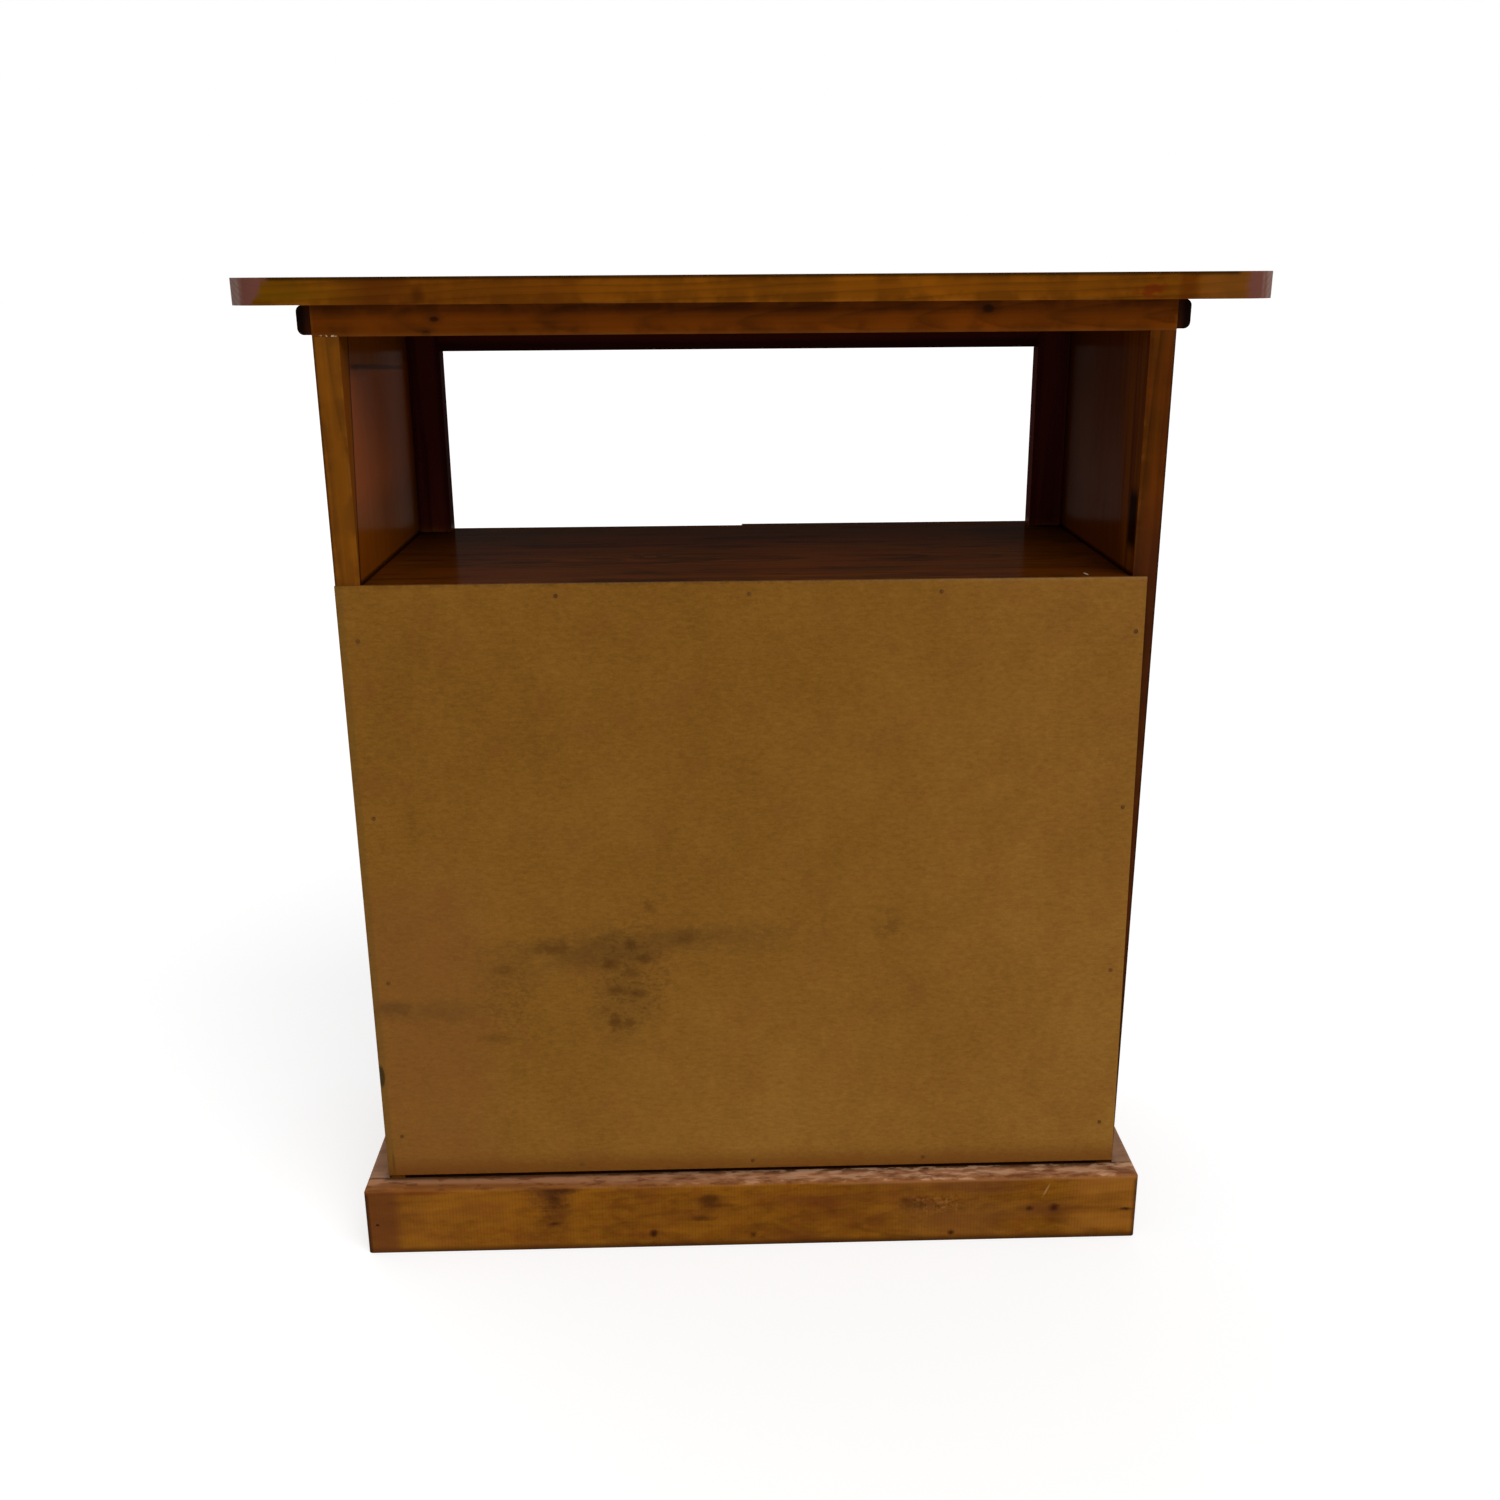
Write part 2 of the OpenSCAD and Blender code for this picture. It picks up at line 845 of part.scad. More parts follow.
// Levels of the doors and of their panels, and the places of these along X
function door_sag(side) = side == RIGHT ? right_door_drop : 0;
function door_foot(side) = plinth_h + door_floor_gap - door_sag(side);
function door_head(side) = shelf_level - door_top_drop - door_sag(side);
function panel_low_z(side) = door_foot(side) + door_bottom_rail_h;
function panel_high_z(side) = door_head(side) - door_top_rail_h;
meeting_x = meeting_gap / 2;
panel_low_x = meeting_x + door_stile_w;
panel_high_x = side_x - door_stile_w;
tenon_len = groove_depth - panel_play;

// The room of the groove, which also takes the rails' tenons
module groove(low, high) {
    block(
        [low[0], door_mid_y - groove_w / 2, low[1]],
        [high[0], door_mid_y + groove_w / 2, high[1]]
    );
}

module door_hinge_stile(side) {
    color(PINE)
        on_side(side)
            difference() {
                block(
                    [panel_high_x, door_front_y, door_foot(side)],
                    [side_x, door_back_y, door_head(side)]
                );
                groove(
                    [panel_high_x - over, door_foot(side) - over],
                    [panel_high_x + groove_depth, door_head(side) + over]
                );
                for (z = hinge_levels(side))
                    translate([0, 0, z]) {
                        leaf_recess(door_back_y - hinge_leaf_t - joint_fit, door_back_y + over);
                        door_leaf_screws(screw_fit);
                    }
            }
}

module door_meeting_stile(side) {
    color(PINE)
        on_side(side)
            difference() {
                block(
                    [meeting_x, door_front_y, door_foot(side)],
                    [panel_low_x, door_back_y, door_head(side)]
                );
                groove(
                    [panel_low_x - groove_depth, door_foot(side) - over],
                    [panel_low_x + over, door_head(side) + over]
                );
                knob_fixing(screw_fit);
            }
}

// A rail with a tenon at each end, and with the panel's groove along one edge
module door_rail(side, low, high, groove_low, groove_high) {
    tenon_t = groove_w - 2 * joint_fit;
    color(PINE)
        on_side(side)
            difference() {
                union() {
                    block([panel_low_x, door_front_y, low], [panel_high_x, door_back_y, high]);
                    block(
                        [panel_low_x - tenon_len, door_mid_y - tenon_t / 2, low],
                        [panel_high_x + tenon_len, door_mid_y + tenon_t / 2, high]
                    );
                }
                groove(
                    [panel_low_x - tenon_len - over, groove_low],
                    [panel_high_x + tenon_len + over, groove_high]
                );
                strike_screw_pair(screw_fit);
            }
}

module door_top_rail(side) {
    z = panel_high_z(side);
    door_rail(side, z, door_head(side), z - over, z + groove_depth);
}

module door_bottom_rail(side) {
    z = panel_low_z(side);
    door_rail(side, door_foot(side), z, z - groove_depth, z + over);
}

// Section of a raised panel: half its width seen inside the frame, and the same with its tongue
module panel_section(seen, whole) {
    tongue = groove_w / 2 - joint_fit;
    field = door_t / 2 - field_recess;
    polygon([
        [-whole, -tongue],
        [-seen, -tongue],
        [-seen + bevel_w, -field],
        [seen - bevel_w, -field],
        [seen, -tongue],
        [whole, -tongue],
        [whole, tongue],
        [-whole, tongue]
    ]);
}

// A raised panel: the room that two crossed sections share, so that its bevels meet in mitres
module door_panel(side) {
    seen_w = (panel_high_x - panel_low_x) / 2;
    seen_h = (panel_high_z(side) - panel_low_z(side)) / 2;
    whole_w = seen_w + tenon_len;
    whole_h = seen_h + tenon_len;
    color(PINE)
        on_side(side)
            translate([panel_low_x + seen_w, door_mid_y, panel_low_z(side) + seen_h])
                intersection() {
                    translate([0, 0, -whole_h])
                        linear_extrude(2 * whole_h)
                            panel_section(seen_w, whole_w);
                    translate([-whole_w, 0, 0])
                        rotate([90, 0, 90])
                            linear_extrude(2 * whole_w)
                                rotate(-90)
                                    panel_section(seen_h, whole_h);
                }
}

// Half of a knob's section: a foot, a neck and an oval head
KNOB_STEPS = 12;
function knob_outline() =
    let (
        neck_r = knob_neck_d / 2,
        foot_r = neck_r + knob_foot_over,
        head_r = knob_d / 2,
        middle = knob_len - knob_head_h / 2,
        start = -acos(neck_r / head_r)
    )
    concat(
        [[0, 0], [foot_r, 0], [foot_r, knob_foot_edge], [neck_r, knob_foot_h]],
        [for (i = [0 : KNOB_STEPS - 1])
            let (a = start + i * (90 - start) / KNOB_STEPS)
            [head_r * cos(a), middle + knob_head_h / 2 * sin(a)]],
        [[0, knob_len]]
    );

// Draws what lies along Z through the right door's stile, from its back to the knob's middle
module at_knob() {
    translate([meeting_x + door_stile_w / 2, door_back_y, knob_level])
        to_front()
            children();
}

// A knob's screw, or with its clearance the hole for it
module knob_fixing(grow = 0) {
    at_knob()
        difference() {
            union() {
                cylinder(h = door_t + knob_screw_grip + grow, d = knob_screw_d + 2 * grow);
                translate([0, 0, -knob_screw_head_h])
                    cylinder(h = knob_screw_head_h, d = knob_screw_head_d);
            }
            if (grow == 0)
                translate([0, 0, -knob_screw_head_h])
                    slot(knob_screw_head_d);
        }
}

module knob_screw(side) {
    color(STEEL)
        on_side(side)
            knob_fixing();
}

module door_knob(side) {
    color(DARK_PINE)
        on_side(side)
            difference() {
                at_knob()
                    translate([0, 0, door_t])
                        rotate_extrude()
                            polygon(knob_outline());
                knob_fixing(screw_fit);
            }
}

// Hinges, each drawn on the right with its foot at z = 0
function hinge_levels(side) = [
    door_foot(side) + hinge_inset,
    door_head(side) - hinge_inset - hinge_h
];

KNUCKLES = 3;
knuckle_h = (hinge_h - (KNUCKLES - 1) * knuckle_gap) / KNUCKLES;
leaf_end_x = pin_x - barrel_d / 2 - knuckle_gap;
leaf_low_x = pin_x - hinge_leaf_w;
leaf_screw_x = (leaf_low_x + side_x) / 2;
leaf_screw_zs = [leaf_screw_inset, hinge_h - leaf_screw_inset];

module frame_leaf_screws(grow = 0) {
    for (z = leaf_screw_zs)
        translate([leaf_screw_x, front_y, z])
            to_back()
                small_screw(grow);
}

module door_leaf_screws(grow = 0) {
    for (z = leaf_screw_zs)
        translate([leaf_screw_x, door_back_y, z])
            to_front()
                small_screw(grow);
}

// The recess for a leaf, between two places along Y
module leaf_recess(front, back) {
    block(
        [leaf_low_x - joint_fit, front, -joint_fit],
        [side_x + over, back, hinge_h + joint_fit]
    );
}

// A leaf whose plate starts at the given place along Y, with the knuckles of the given numbers
module leaf(front, knuckles) {
    difference() {
        union() {
            block([leaf_low_x, front, 0], [leaf_end_x, front + hinge_leaf_t, hinge_h]);
            for (i = knuckles)
                translate([0, 0, i * (knuckle_h + knuckle_gap)]) {
                    translate([pin_x, pin_y, 0])
                        cylinder(h = knuckle_h, d = barrel_d);
                    block([leaf_end_x - over, front, 0], [pin_x, front + hinge_leaf_t, knuckle_h]);
                }
        }
        translate([pin_x, pin_y, -over])
            cylinder(h = hinge_h + 2 * over, d = hinge_pin_d + 2 * pin_fit);
    }
}

module hinge_frame_leaves(side) {
    color(BRASS)
        on_side(side)
            for (z = hinge_levels(side))
                translate([0, 0, z])
                    difference() {
                        leaf(front_y, [0, 2]);
                        frame_leaf_screws(screw_fit);
                    }
}

module hinge_door_leaves(side) {
    color(BRASS)
        on_side(side)
            for (z = hinge_levels(side))
                translate([0, 0, z])
                    difference() {
                        leaf(door_back_y - hinge_leaf_t, [1]);
                        door_leaf_screws(screw_fit);
                    }
}

// Pins with a small head at each end, against the outer knuckles
module hinge_pins(side) {
    color(BRASS)
        on_side(side)
            for (z = hinge_levels(side))
                translate([pin_x, pin_y, z]) {
                    cylinder(h = hinge_h, d = hinge_pin_d);
                    for (end = [-pin_head_h, hinge_h])
                        translate([0, 0, end])
                            cylinder(h = pin_head_h, d = pin_head_d);
                }
}

module hinge_frame_screws() {
    color(BRASS)
        for (side = [LEFT, RIGHT])
            on_side(side)
                for (z = hinge_levels(side))
                    translate([0, 0, z])
                        frame_leaf_screws();
}

module hinge_door_screws(side) {
    color(BRASS)
        on_side(side)
            for (z = hinge_levels(side))
                translate([0, 0, z])
                    door_leaf_screws();
}

// Magnetic catches under the face frame's middle rail, and the strike plates on the doors
catch_front_y = door_back_y + strike_t + catch_gap;
catch_mid_z = mid_rail_z - catch_h / 2;
catch_core = catch_w / 2 - catch_ear_w;

// A catch's magnet, or with its clearance the pocket for it, which is open at the front
module magnet(grow = 0) {
    half_w = catch_core - catch_side_wall + grow;
    half_h = catch_h / 2 - catch_cover_wall + grow;
    mouth = grow > 0 ? over : 0;
    block(
        [catch_reach - half_w, catch_front_y - mouth, catch_mid_z - half_h],
        [catch_reach + half_w, catch_front_y + catch_d - catch_rear_wall + grow, catch_mid_z + half_h]
    );
}

module catch_screw_pair(grow = 0) {
    for (end = [-1, 1])
        translate([
            catch_reach + end * (catch_core + catch_ear_w / 2),
            catch_front_y + catch_d / 2,
            mid_rail_z - catch_ear_t
        ])
            small_screw(grow);
}

module catch_housing(side) {
    color(BROWN_PLASTIC)
        on_side(side)
            difference() {
                union() {
                    block(
                        [catch_reach - catch_core, catch_front_y, mid_rail_z - catch_h],
                        [catch_reach + catch_core, catch_front_y + catch_d, mid_rail_z]
                    );
                    block(
                        [catch_reach - catch_w / 2, catch_front_y, mid_rail_z - catch_ear_t],
                        [catch_reach + catch_w / 2, catch_front_y + catch_d, mid_rail_z]
                    );
                }
                magnet(joint_fit);
                catch_screw_pair(screw_fit);
            }
}

module catch_magnets() {
    color(STEEL)
        for (side = [LEFT, RIGHT])
            on_side(side)
                magnet();
}

module catch_screws() {
    color(STEEL)
        for (side = [LEFT, RIGHT])
            on_side(side)
                catch_screw_pair();
}

strike_w = catch_w - 2 * strike_end_margin;
strike_h = catch_h - 2 * strike_edge_margin;

module strike_screw_pair(grow = 0) {
    reach = strike_w / 2 - strike_screw_inset;
    for (end = [-1, 1])
        translate([catch_reach + end * reach, door_back_y + strike_t, catch_mid_z])
            to_front()
                small_screw(grow);
}

module strike_plate(side) {
    color(STEEL)
        on_side(side)
            difference() {
                block(
                    [catch_reach - strike_w / 2, door_back_y, catch_mid_z - strike_h / 2],
                    [catch_reach + strike_w / 2, door_back_y + strike_t, catch_mid_z + strike_h / 2]
                );
                strike_screw_pair(screw_fit);
            }
}

module strike_screws(side) {
    color(STEEL)
        on_side(side)
            strike_screw_pair();
}

top_plank_rear();
top_plank_middle();
top_plank_front();
rear_top_rail();
side_panel(LEFT);  // left_side_panel
side_panel(RIGHT);  // right_side_panel
bay_shelf();
bottom_board();
inner_shelf();
shelf_pegs();
frame_stile(LEFT);  // left_frame_stile
frame_stile(RIGHT);  // right_frame_stile
frame_top_rail();
frame_mid_rail();
frame_bottom_rail();
face_frame_dowels();
side_moulding(LEFT);  // left_top_moulding
side_moulding(RIGHT);  // right_top_moulding
front_top_moulding();
back_panel();
back_panel_nails();
plinth_rear_board();
plinth_front_board();
plinth_side_board(LEFT);  // plinth_left_board
plinth_side_board(RIGHT);  // plinth_right_board
plinth_nails();
plinth_glue_blocks();
top_screws();
hinge_frame_leaves(LEFT);  // left_hinge_frame_leaves
hinge_frame_leaves(RIGHT);  // right_hinge_frame_leaves
hinge_pins(LEFT);  // left_hinge_pins
hinge_pins(RIGHT);  // right_hinge_pins
hinge_frame_screws();
catch_housing(LEFT);  // left_catch_housing
catch_housing(RIGHT);  // right_catch_housing
catch_magnets();
catch_screws();
door_hinge_stile(LEFT);  // left_door_hinge_stile
door_meeting_stile(LEFT);  // left_door_meeting_stile
door_top_rail(LEFT);  // left_door_top_rail
door_bottom_rail(LEFT);  // left_door_bottom_rail
door_panel(LEFT);  // left_door_panel
door_knob(LEFT);  // left_door_knob
knob_screw(LEFT);  // left_knob_screw
hinge_door_leaves(LEFT);  // left_hinge_door_leaves
hinge_door_screws(LEFT);  // left_hinge_door_screws
strike_plate(LEFT);  // left_strike_plate
strike_screws(LEFT);  // left_strike_screws
door_hinge_stile(RIGHT);  // right_door_hinge_stile
door_meeting_stile(RIGHT);  // right_door_meeting_stile
door_top_rail(RIGHT);  // right_door_top_rail
door_bottom_rail(RIGHT);  // right_door_bottom_rail
door_panel(RIGHT);  // right_door_panel
door_knob(RIGHT);  // right_door_knob
knob_screw(RIGHT);  // right_knob_screw
hinge_door_leaves(RIGHT);  // right_hinge_door_leaves
hinge_door_screws(RIGHT);  // right_hinge_door_screws
strike_plate(RIGHT);  // right_strike_plate
strike_screws(RIGHT);  // right_strike_screws
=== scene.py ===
import math
import random

import bmesh
import bpy
from mathutils import Matrix, Vector


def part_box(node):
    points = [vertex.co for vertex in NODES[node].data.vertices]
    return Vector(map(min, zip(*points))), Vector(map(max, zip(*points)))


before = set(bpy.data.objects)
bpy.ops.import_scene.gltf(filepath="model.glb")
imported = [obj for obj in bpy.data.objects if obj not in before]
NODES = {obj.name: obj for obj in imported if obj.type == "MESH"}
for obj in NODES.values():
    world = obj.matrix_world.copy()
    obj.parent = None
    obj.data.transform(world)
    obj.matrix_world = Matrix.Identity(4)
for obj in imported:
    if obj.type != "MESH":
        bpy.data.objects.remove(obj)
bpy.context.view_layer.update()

AXES = "XYZ"
# The carcass's middle from side to side, which stands a little to the right of the whole cabinet's
MIDDLE = (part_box("left_side_panel")[0][0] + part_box("right_side_panel")[1][0]) / 2

# Places that marks are set by, in metres: half the carcass's width, its middle from front to back
# and half its depth, the bay shelf's upper face, and the back panel's foot
HALF_WIDTH = 0.330
DEPTH_MIDDLE = 0.0225
HALF_DEPTH = 0.140
SHELF_LEVEL = 0.611
BACK_FOOT = 0.070


# Colours and node building

def srgb(red, green, blue):
    """A colour given as it looks on a screen, from 0 to 255."""
    def linear(c):
        c /= 255
        return c / 12.92 if c <= 0.04045 else ((c + 0.055) / 1.055) ** 2.4
    return (linear(red), linear(green), linear(blue), 1.0)


class Val:
    """A socket that can be used in sums."""

    def __init__(self, graph, socket):
        self.graph = graph
        self.socket = socket

    def __add__(self, other):
        return self.graph.math("ADD", self, other)

    def __radd__(self, other):
        return self.graph.math("ADD", other, self)

    def __sub__(self, other):
        return self.graph.math("SUBTRACT", self, other)

    def __rsub__(self, other):
        return self.graph.math("SUBTRACT", other, self)

    def __mul__(self, other):
        return self.graph.math("MULTIPLY", self, other)

    def __rmul__(self, other):
        return self.graph.math("MULTIPLY", other, self)

    def __truediv__(self, other):
        return self.graph.math("DIVIDE", self, other)

    def __abs__(self):
        return self.graph.math("ABSOLUTE", self)

    def step(self, low, high):
        """0 at low, 1 at high, smooth between them."""
        return self.graph.node(
            "MapRange", {"Value": self, "From Min": low, "From Max": high},
            interpolation_type="SMOOTHSTEP",
        )

    def at_least(self, other):
        return self.graph.math("MAXIMUM", self, other)

    def at_most(self, other):
        return self.graph.math("MINIMUM", self, other)

    def ramp(self, *stops):
        """A number from this one, through the given (place, number) stops."""
        return self.graph.ramp(self, [(p, (v, v, v, 1.0)) for p, v in stops])


class Graph:
    """One material's nodes."""

    def __init__(self, name):
        self.material = bpy.data.materials.new(name)
        self.material.use_nodes = True
        self.tree = self.material.node_tree
        self.tree.nodes.clear()

    def put(self, socket, value):
        """Links a value to a socket, or sets the socket to a number."""
        if isinstance(value, Val):
            self.tree.links.new(value.socket, socket)
        elif value is not None:
            socket.default_value = value

    def node(self, kind, inputs=(), output=0, **settings):
        made = self.tree.nodes.new("ShaderNode" + kind)
        for key, value in settings.items():
            setattr(made, key, value)
        for key, value in dict(inputs).items():
            self.put(made.inputs[key], value)
        return Val(self, made.outputs[output])

    def math(self, operation, *values):
        return self.node("Math", dict(enumerate(values)), operation=operation)

    def vector(self, x, y, z):
        return self.node("CombineXYZ", {0: x, 1: y, 2: z})

    def split(self, vector):
        made = self.tree.nodes.new("ShaderNodeSeparateXYZ")
        self.put(made.inputs[0], vector)
        return [Val(self, made.outputs[i]) for i in range(3)]

    def place(self):
        """Where a point is in the row frame, in metres."""
        return self.split(self.node("TexCoord", output="Object"))

    def facing(self):
        """The direction that a surface faces, in the row frame."""
        return self.split(self.node("TexCoord", output="Normal"))

    def noise(self, x, y, z, detail=2.0, roughness=0.5):
        return self.node("TexNoise", {
            "Vector": self.vector(x, y, z), "Scale": 1.0, "Detail": detail,
            "Roughness": roughness,
        })

    def spot(self, a, b, wide, high, turn=0.0):
        """Distance from an ellipse's middle, 1 on its outline; turn leans it."""
        along, across = (a + b * turn) / wide, (b - a * turn) / high
        return self.math("SQRT", along * along + across * across)

    def ramp(self, value, stops):
        """A colour from a number, through the given (place, colour) stops."""
        made = self.tree.nodes.new("ShaderNodeValToRGB")
        self.put(made.inputs[0], value)
        points = made.color_ramp.elements
        while len(points) < len(stops):
            points.new(1.0)
        for point, (place, colour) in zip(points, stops):
            point.position = place
            point.color = colour
        return Val(self, made.outputs[0])

    def blend(self, amount, low, high):
        """A colour between two, low where the amount is 0 and high where it is 1."""
        made = self.tree.nodes.new("ShaderNodeMix")
        made.data_type = "RGBA"
        made.clamp_factor = True
        self.put(made.inputs[0], amount)
        self.put(made.inputs[6], low)
        self.put(made.inputs[7], high)
        return Val(self, made.outputs[2])

    def bump(self, height, distance):
        return self.node(
            "Bump", {"Height": height, "Strength": 1.0, "Distance": distance}, output="Normal",
        )

    def finish(self, colour, roughness, height, relief, swell=None, **sockets):
        """The shader, with uniform numbers set on its own sockets.

        relief is how deep the surface's height goes, and swell the varnish's own height, in metres.
        """
        shader = self.tree.nodes.new("ShaderNodeBsdfPrincipled")
        self.put(shader.inputs["Base Color"], colour)
        self.put(shader.inputs["Roughness"], roughness)
        for key, value in sockets.items():
            self.put(shader.inputs[key.replace("_", " ")], value)
        self.put(shader.inputs["Normal"], self.bump(height, relief))
        if swell is not None:
            self.put(shader.inputs["Coat Normal"], self.bump(swell, 1.0))
        out = self.tree.nodes.new("ShaderNodeOutputMaterial")
        self.tree.links.new(shader.outputs[0], out.inputs[0])
        return self.material


# Wood

def stain(red, green, blue, light=1.26, dark=0.56):
    """Three tones of a stain: early wood, between, and late wood."""
    return tuple(srgb(*(min(255, c * f) for c in (red, green, blue))) for f in (light, 1.0, dark))


HONEY = stain(112, 64, 4)
AMBER = stain(98, 52, 3)
OCHRE = stain(128, 78, 16, 1.2, 0.6)
RAW = stain(182, 138, 82, 1.14, 0.76)
WALNUT = stain(50, 24, 10)
KNOT_RIM = srgb(38, 15, 3)
KNOT_HEART = srgb(96, 46, 12)
WORN = srgb(160, 106, 50)
GRIME = srgb(34, 14, 2)
# Near black, for dark marks and for painted shade in corners and gaps
DARK_MARKS_AND_SHADE = srgb(16, 4, 1)
# How far from an arris the wood is rubbed, in metres
WEAR_REACH = 0.0028


class Wood:
    """A board's pine, worked out in three dimensions round the heart of its tree.

    grain and thick are the axes of the board's length and thickness, spacing is the width of its
    growth rings in metres, and gloss is the weight of its varnish.
    """

    def __init__(self, node, grain, thick, tones, seed, knots=(), pins=(), contrast=1.0,
                 spacing=0.0042, gloss=0.2):
        self.g = g = Graph("wood_" + node)
        chance = random.Random(seed)
        self.low, self.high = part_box(node)
        middle = (self.low + self.high) / 2
        self.xyz = g.place()
        self.normal = g.facing()
        self.tones = tones
        self.coat = gloss
        self.swell = None
        self.along = along = AXES.index(grain)
        deep = AXES.index(thick)
        across = 3 - along - deep
        w = self.xyz[along] - middle[along]
        shift = [chance.uniform(-50, 50) for _ in range(3)]
        heart_u = chance.uniform(-0.04, 0.04)
        heart_v = chance.uniform(0.03, 0.07) * chance.choice((-1, 1))
        lean = chance.uniform(0.03, 0.07) * chance.choice((-1, 1))
        u = self.xyz[across] - (middle[across] + heart_u)
        v = self.xyz[deep] - (middle[deep] + heart_v)
        drift = g.noise(u * 7 + shift[0], v * 7 + shift[1], w * 2.2 + shift[2], 2)
        self.ripple = ripple = g.noise(u * 60 + shift[1], v * 60, w * 9 + shift[0], 2)
        v_here = v + w * lean
        radius = g.math("SQRT", u * u + v_here * v_here)
        radius = radius + (drift - 0.5) * 0.022 + (ripple - 0.5) * 0.0022

        rims = []
        for axis, p, q, size in knots:
            reach = self.reach(axis, p, q, size, 1.5) + (ripple - 0.5) * 0.55
            radius = radius + reach.step(3.2, 0.6) * (size * 0.9)
            rims.append(reach)

        wide = g.noise(radius * 34 + shift[2], 0.0, 0.0, 1)
        phase = radius / spacing + wide * 3.0
        ring = g.math("FRACT", phase).ramp(
            (0.0, 0.12), (0.30, 0.05), (0.72, 0.55), (0.90, 1.0), (1.0, 0.12)
        )
        fibre = g.noise(u * 420 + shift[0], v * 420, w * 7 + shift[1], 2, 0.6)
        streak = g.noise(u * 90 + shift[2], v * 90, w * 2.5 + shift[1], 2, 0.55)
        x, y, z = self.xyz
        blotch = g.noise(x * 9 + shift[1], y * 9 + shift[2], z * 9, 3, 0.55)
        self.ring, self.blotch, self.fibre, self.streak = ring, blotch, fibre, streak
        end = abs(self.normal[along]).step(0.55, 0.8)
        mix = (
            ring * (0.42 * contrast)
            + (streak - 0.5) * (0.9 * contrast)
            + (fibre - 0.5) * (0.55 * contrast)
            + (blotch - 0.5) * 0.9
            + end * 0.28
            + (0.45 - 0.19 * contrast)
        )
        self.colour = g.ramp(mix, [(0.0, tones[0]), (0.45, tones[1]), (1.0, tones[2])])
        self.rough = (0.34 + end * 0.15) + (streak - 0.5) * 0.18 + (blotch - 0.5) * 0.15
        self.height = ring * -0.25 + fibre * 0.45 + streak * 0.35
        for reach in rims:
            inside = reach.step(1.15, 0.95)
            growth = (g.math("SINE", reach * 19.0) + fibre).step(-0.4, 1.6)
            self.lay(reach.step(2.6, 1.0), tones[2], 0.35)
            self.lay(inside, g.blend(growth * 0.6, KNOT_HEART, KNOT_RIM), 0.8)
            self.lay(inside * reach.step(0.72, 1.0), KNOT_RIM, 0.75)
            self.lay(reach.step(0.30, 0.05), KNOT_RIM, 0.6)
        for axis, p, q, size in pins:
            self.smudge(axis, p, q, size)

    def reach(self, axis, p, q, size, length=1.0):
        """Distance from a line along an axis through (p, q), in sizes.

        length stretches the shape along the grain.
        """
        others = [i for i in range(3) if i != AXES.index(axis)]
        a, b = (
            (self.xyz[i] - place) * (1 / (size * (length if i == self.along else 1.0)))
            for i, place in zip(others, (p, q))
        )
        return self.g.math("SQRT", a * a + b * b)

    def smudge(self, axis, p, q, size):
        """A small, ragged dark place: a pin knot or a pitch pocket."""
        ragged = (self.streak - 0.5) * 1.3 + (self.ripple - 0.5) * 1.2
        reach = self.reach(axis, p, q, size, 1.6) + ragged
        self.lay(reach.step(3.2, 0.9), self.tones[2], 0.35)
        self.lay(reach.step(1.35, 0.35), KNOT_RIM, 0.85)

    def lay(self, mask, colour, amount):
        """Puts a colour over the wood where the mask says."""
        self.colour = self.g.blend(mask * amount, self.colour, colour)

    def varnish(self, mask, weight):
        """Sets how much varnish lies where the mask says."""
        self.coat = self.coat + (weight - self.coat) * mask

    def wear(self, amount):
        """Rubs the arrises, unevenly, and leaves a little dirt beside them."""
        g = self.g
        d = [
            (place - low).at_most(high - place)
            for place, low, high in zip(self.xyz, self.low, self.high)
        ]
        # The second smallest distance to a face is small only along an arris
        second = d[0].at_most(d[1]).at_least(d[0].at_least(d[1]).at_most(d[2]))
        x, y, z = self.xyz
        patchy = g.noise(x * 38, y * 38, z * 38, 3, 0.6)
        rubbed = second.step(WEAR_REACH, WEAR_REACH * 0.15) * patchy.step(0.46, 0.66)
        soiled = second.step(WEAR_REACH * 5, WEAR_REACH * 0.6) * patchy.step(0.60, 0.40)
        self.lay(soiled, GRIME, 0.35)
        self.lay(rubbed, WORN, amount)
        self.rough = self.rough + rubbed * 0.2

    def done(self):
        """The finished material: dull wood under its varnish."""
        rough = self.rough.at_least(0.14).at_most(0.9)
        return self.g.finish(
            self.colour, rough, self.height, relief=0.0002, swell=self.swell,
            Specular_IOR_Level=0.0, Coat_Weight=self.coat, Coat_Roughness=0.16,
        )


def dress(material, *nodes):
    """Gives nodes a material, in their first slot."""
    for name in nodes:
        slots = NODES[name].data.materials
        slots.clear()
        slots.append(material)


def board(node, grain, thick, tones, seed, extra=None, wear=0.3, rough=0.0, **options):
    """Dresses a board; extra is a function that adds its own marks."""
    wood = Wood(node, grain, thick, tones, seed, **options)
    if wear:
        wood.wear(wear)
    if extra:
        extra(wood)
    if rough:
        wood.rough = wood.rough + rough
    dress(wood.done(), node)


# A painted sheen on the top's round corners, pale and pinkish where they turn sideways
SHEEN_PALE = srgb(146, 122, 114)
SHEEN_DARK = srgb(112, 68, 62)


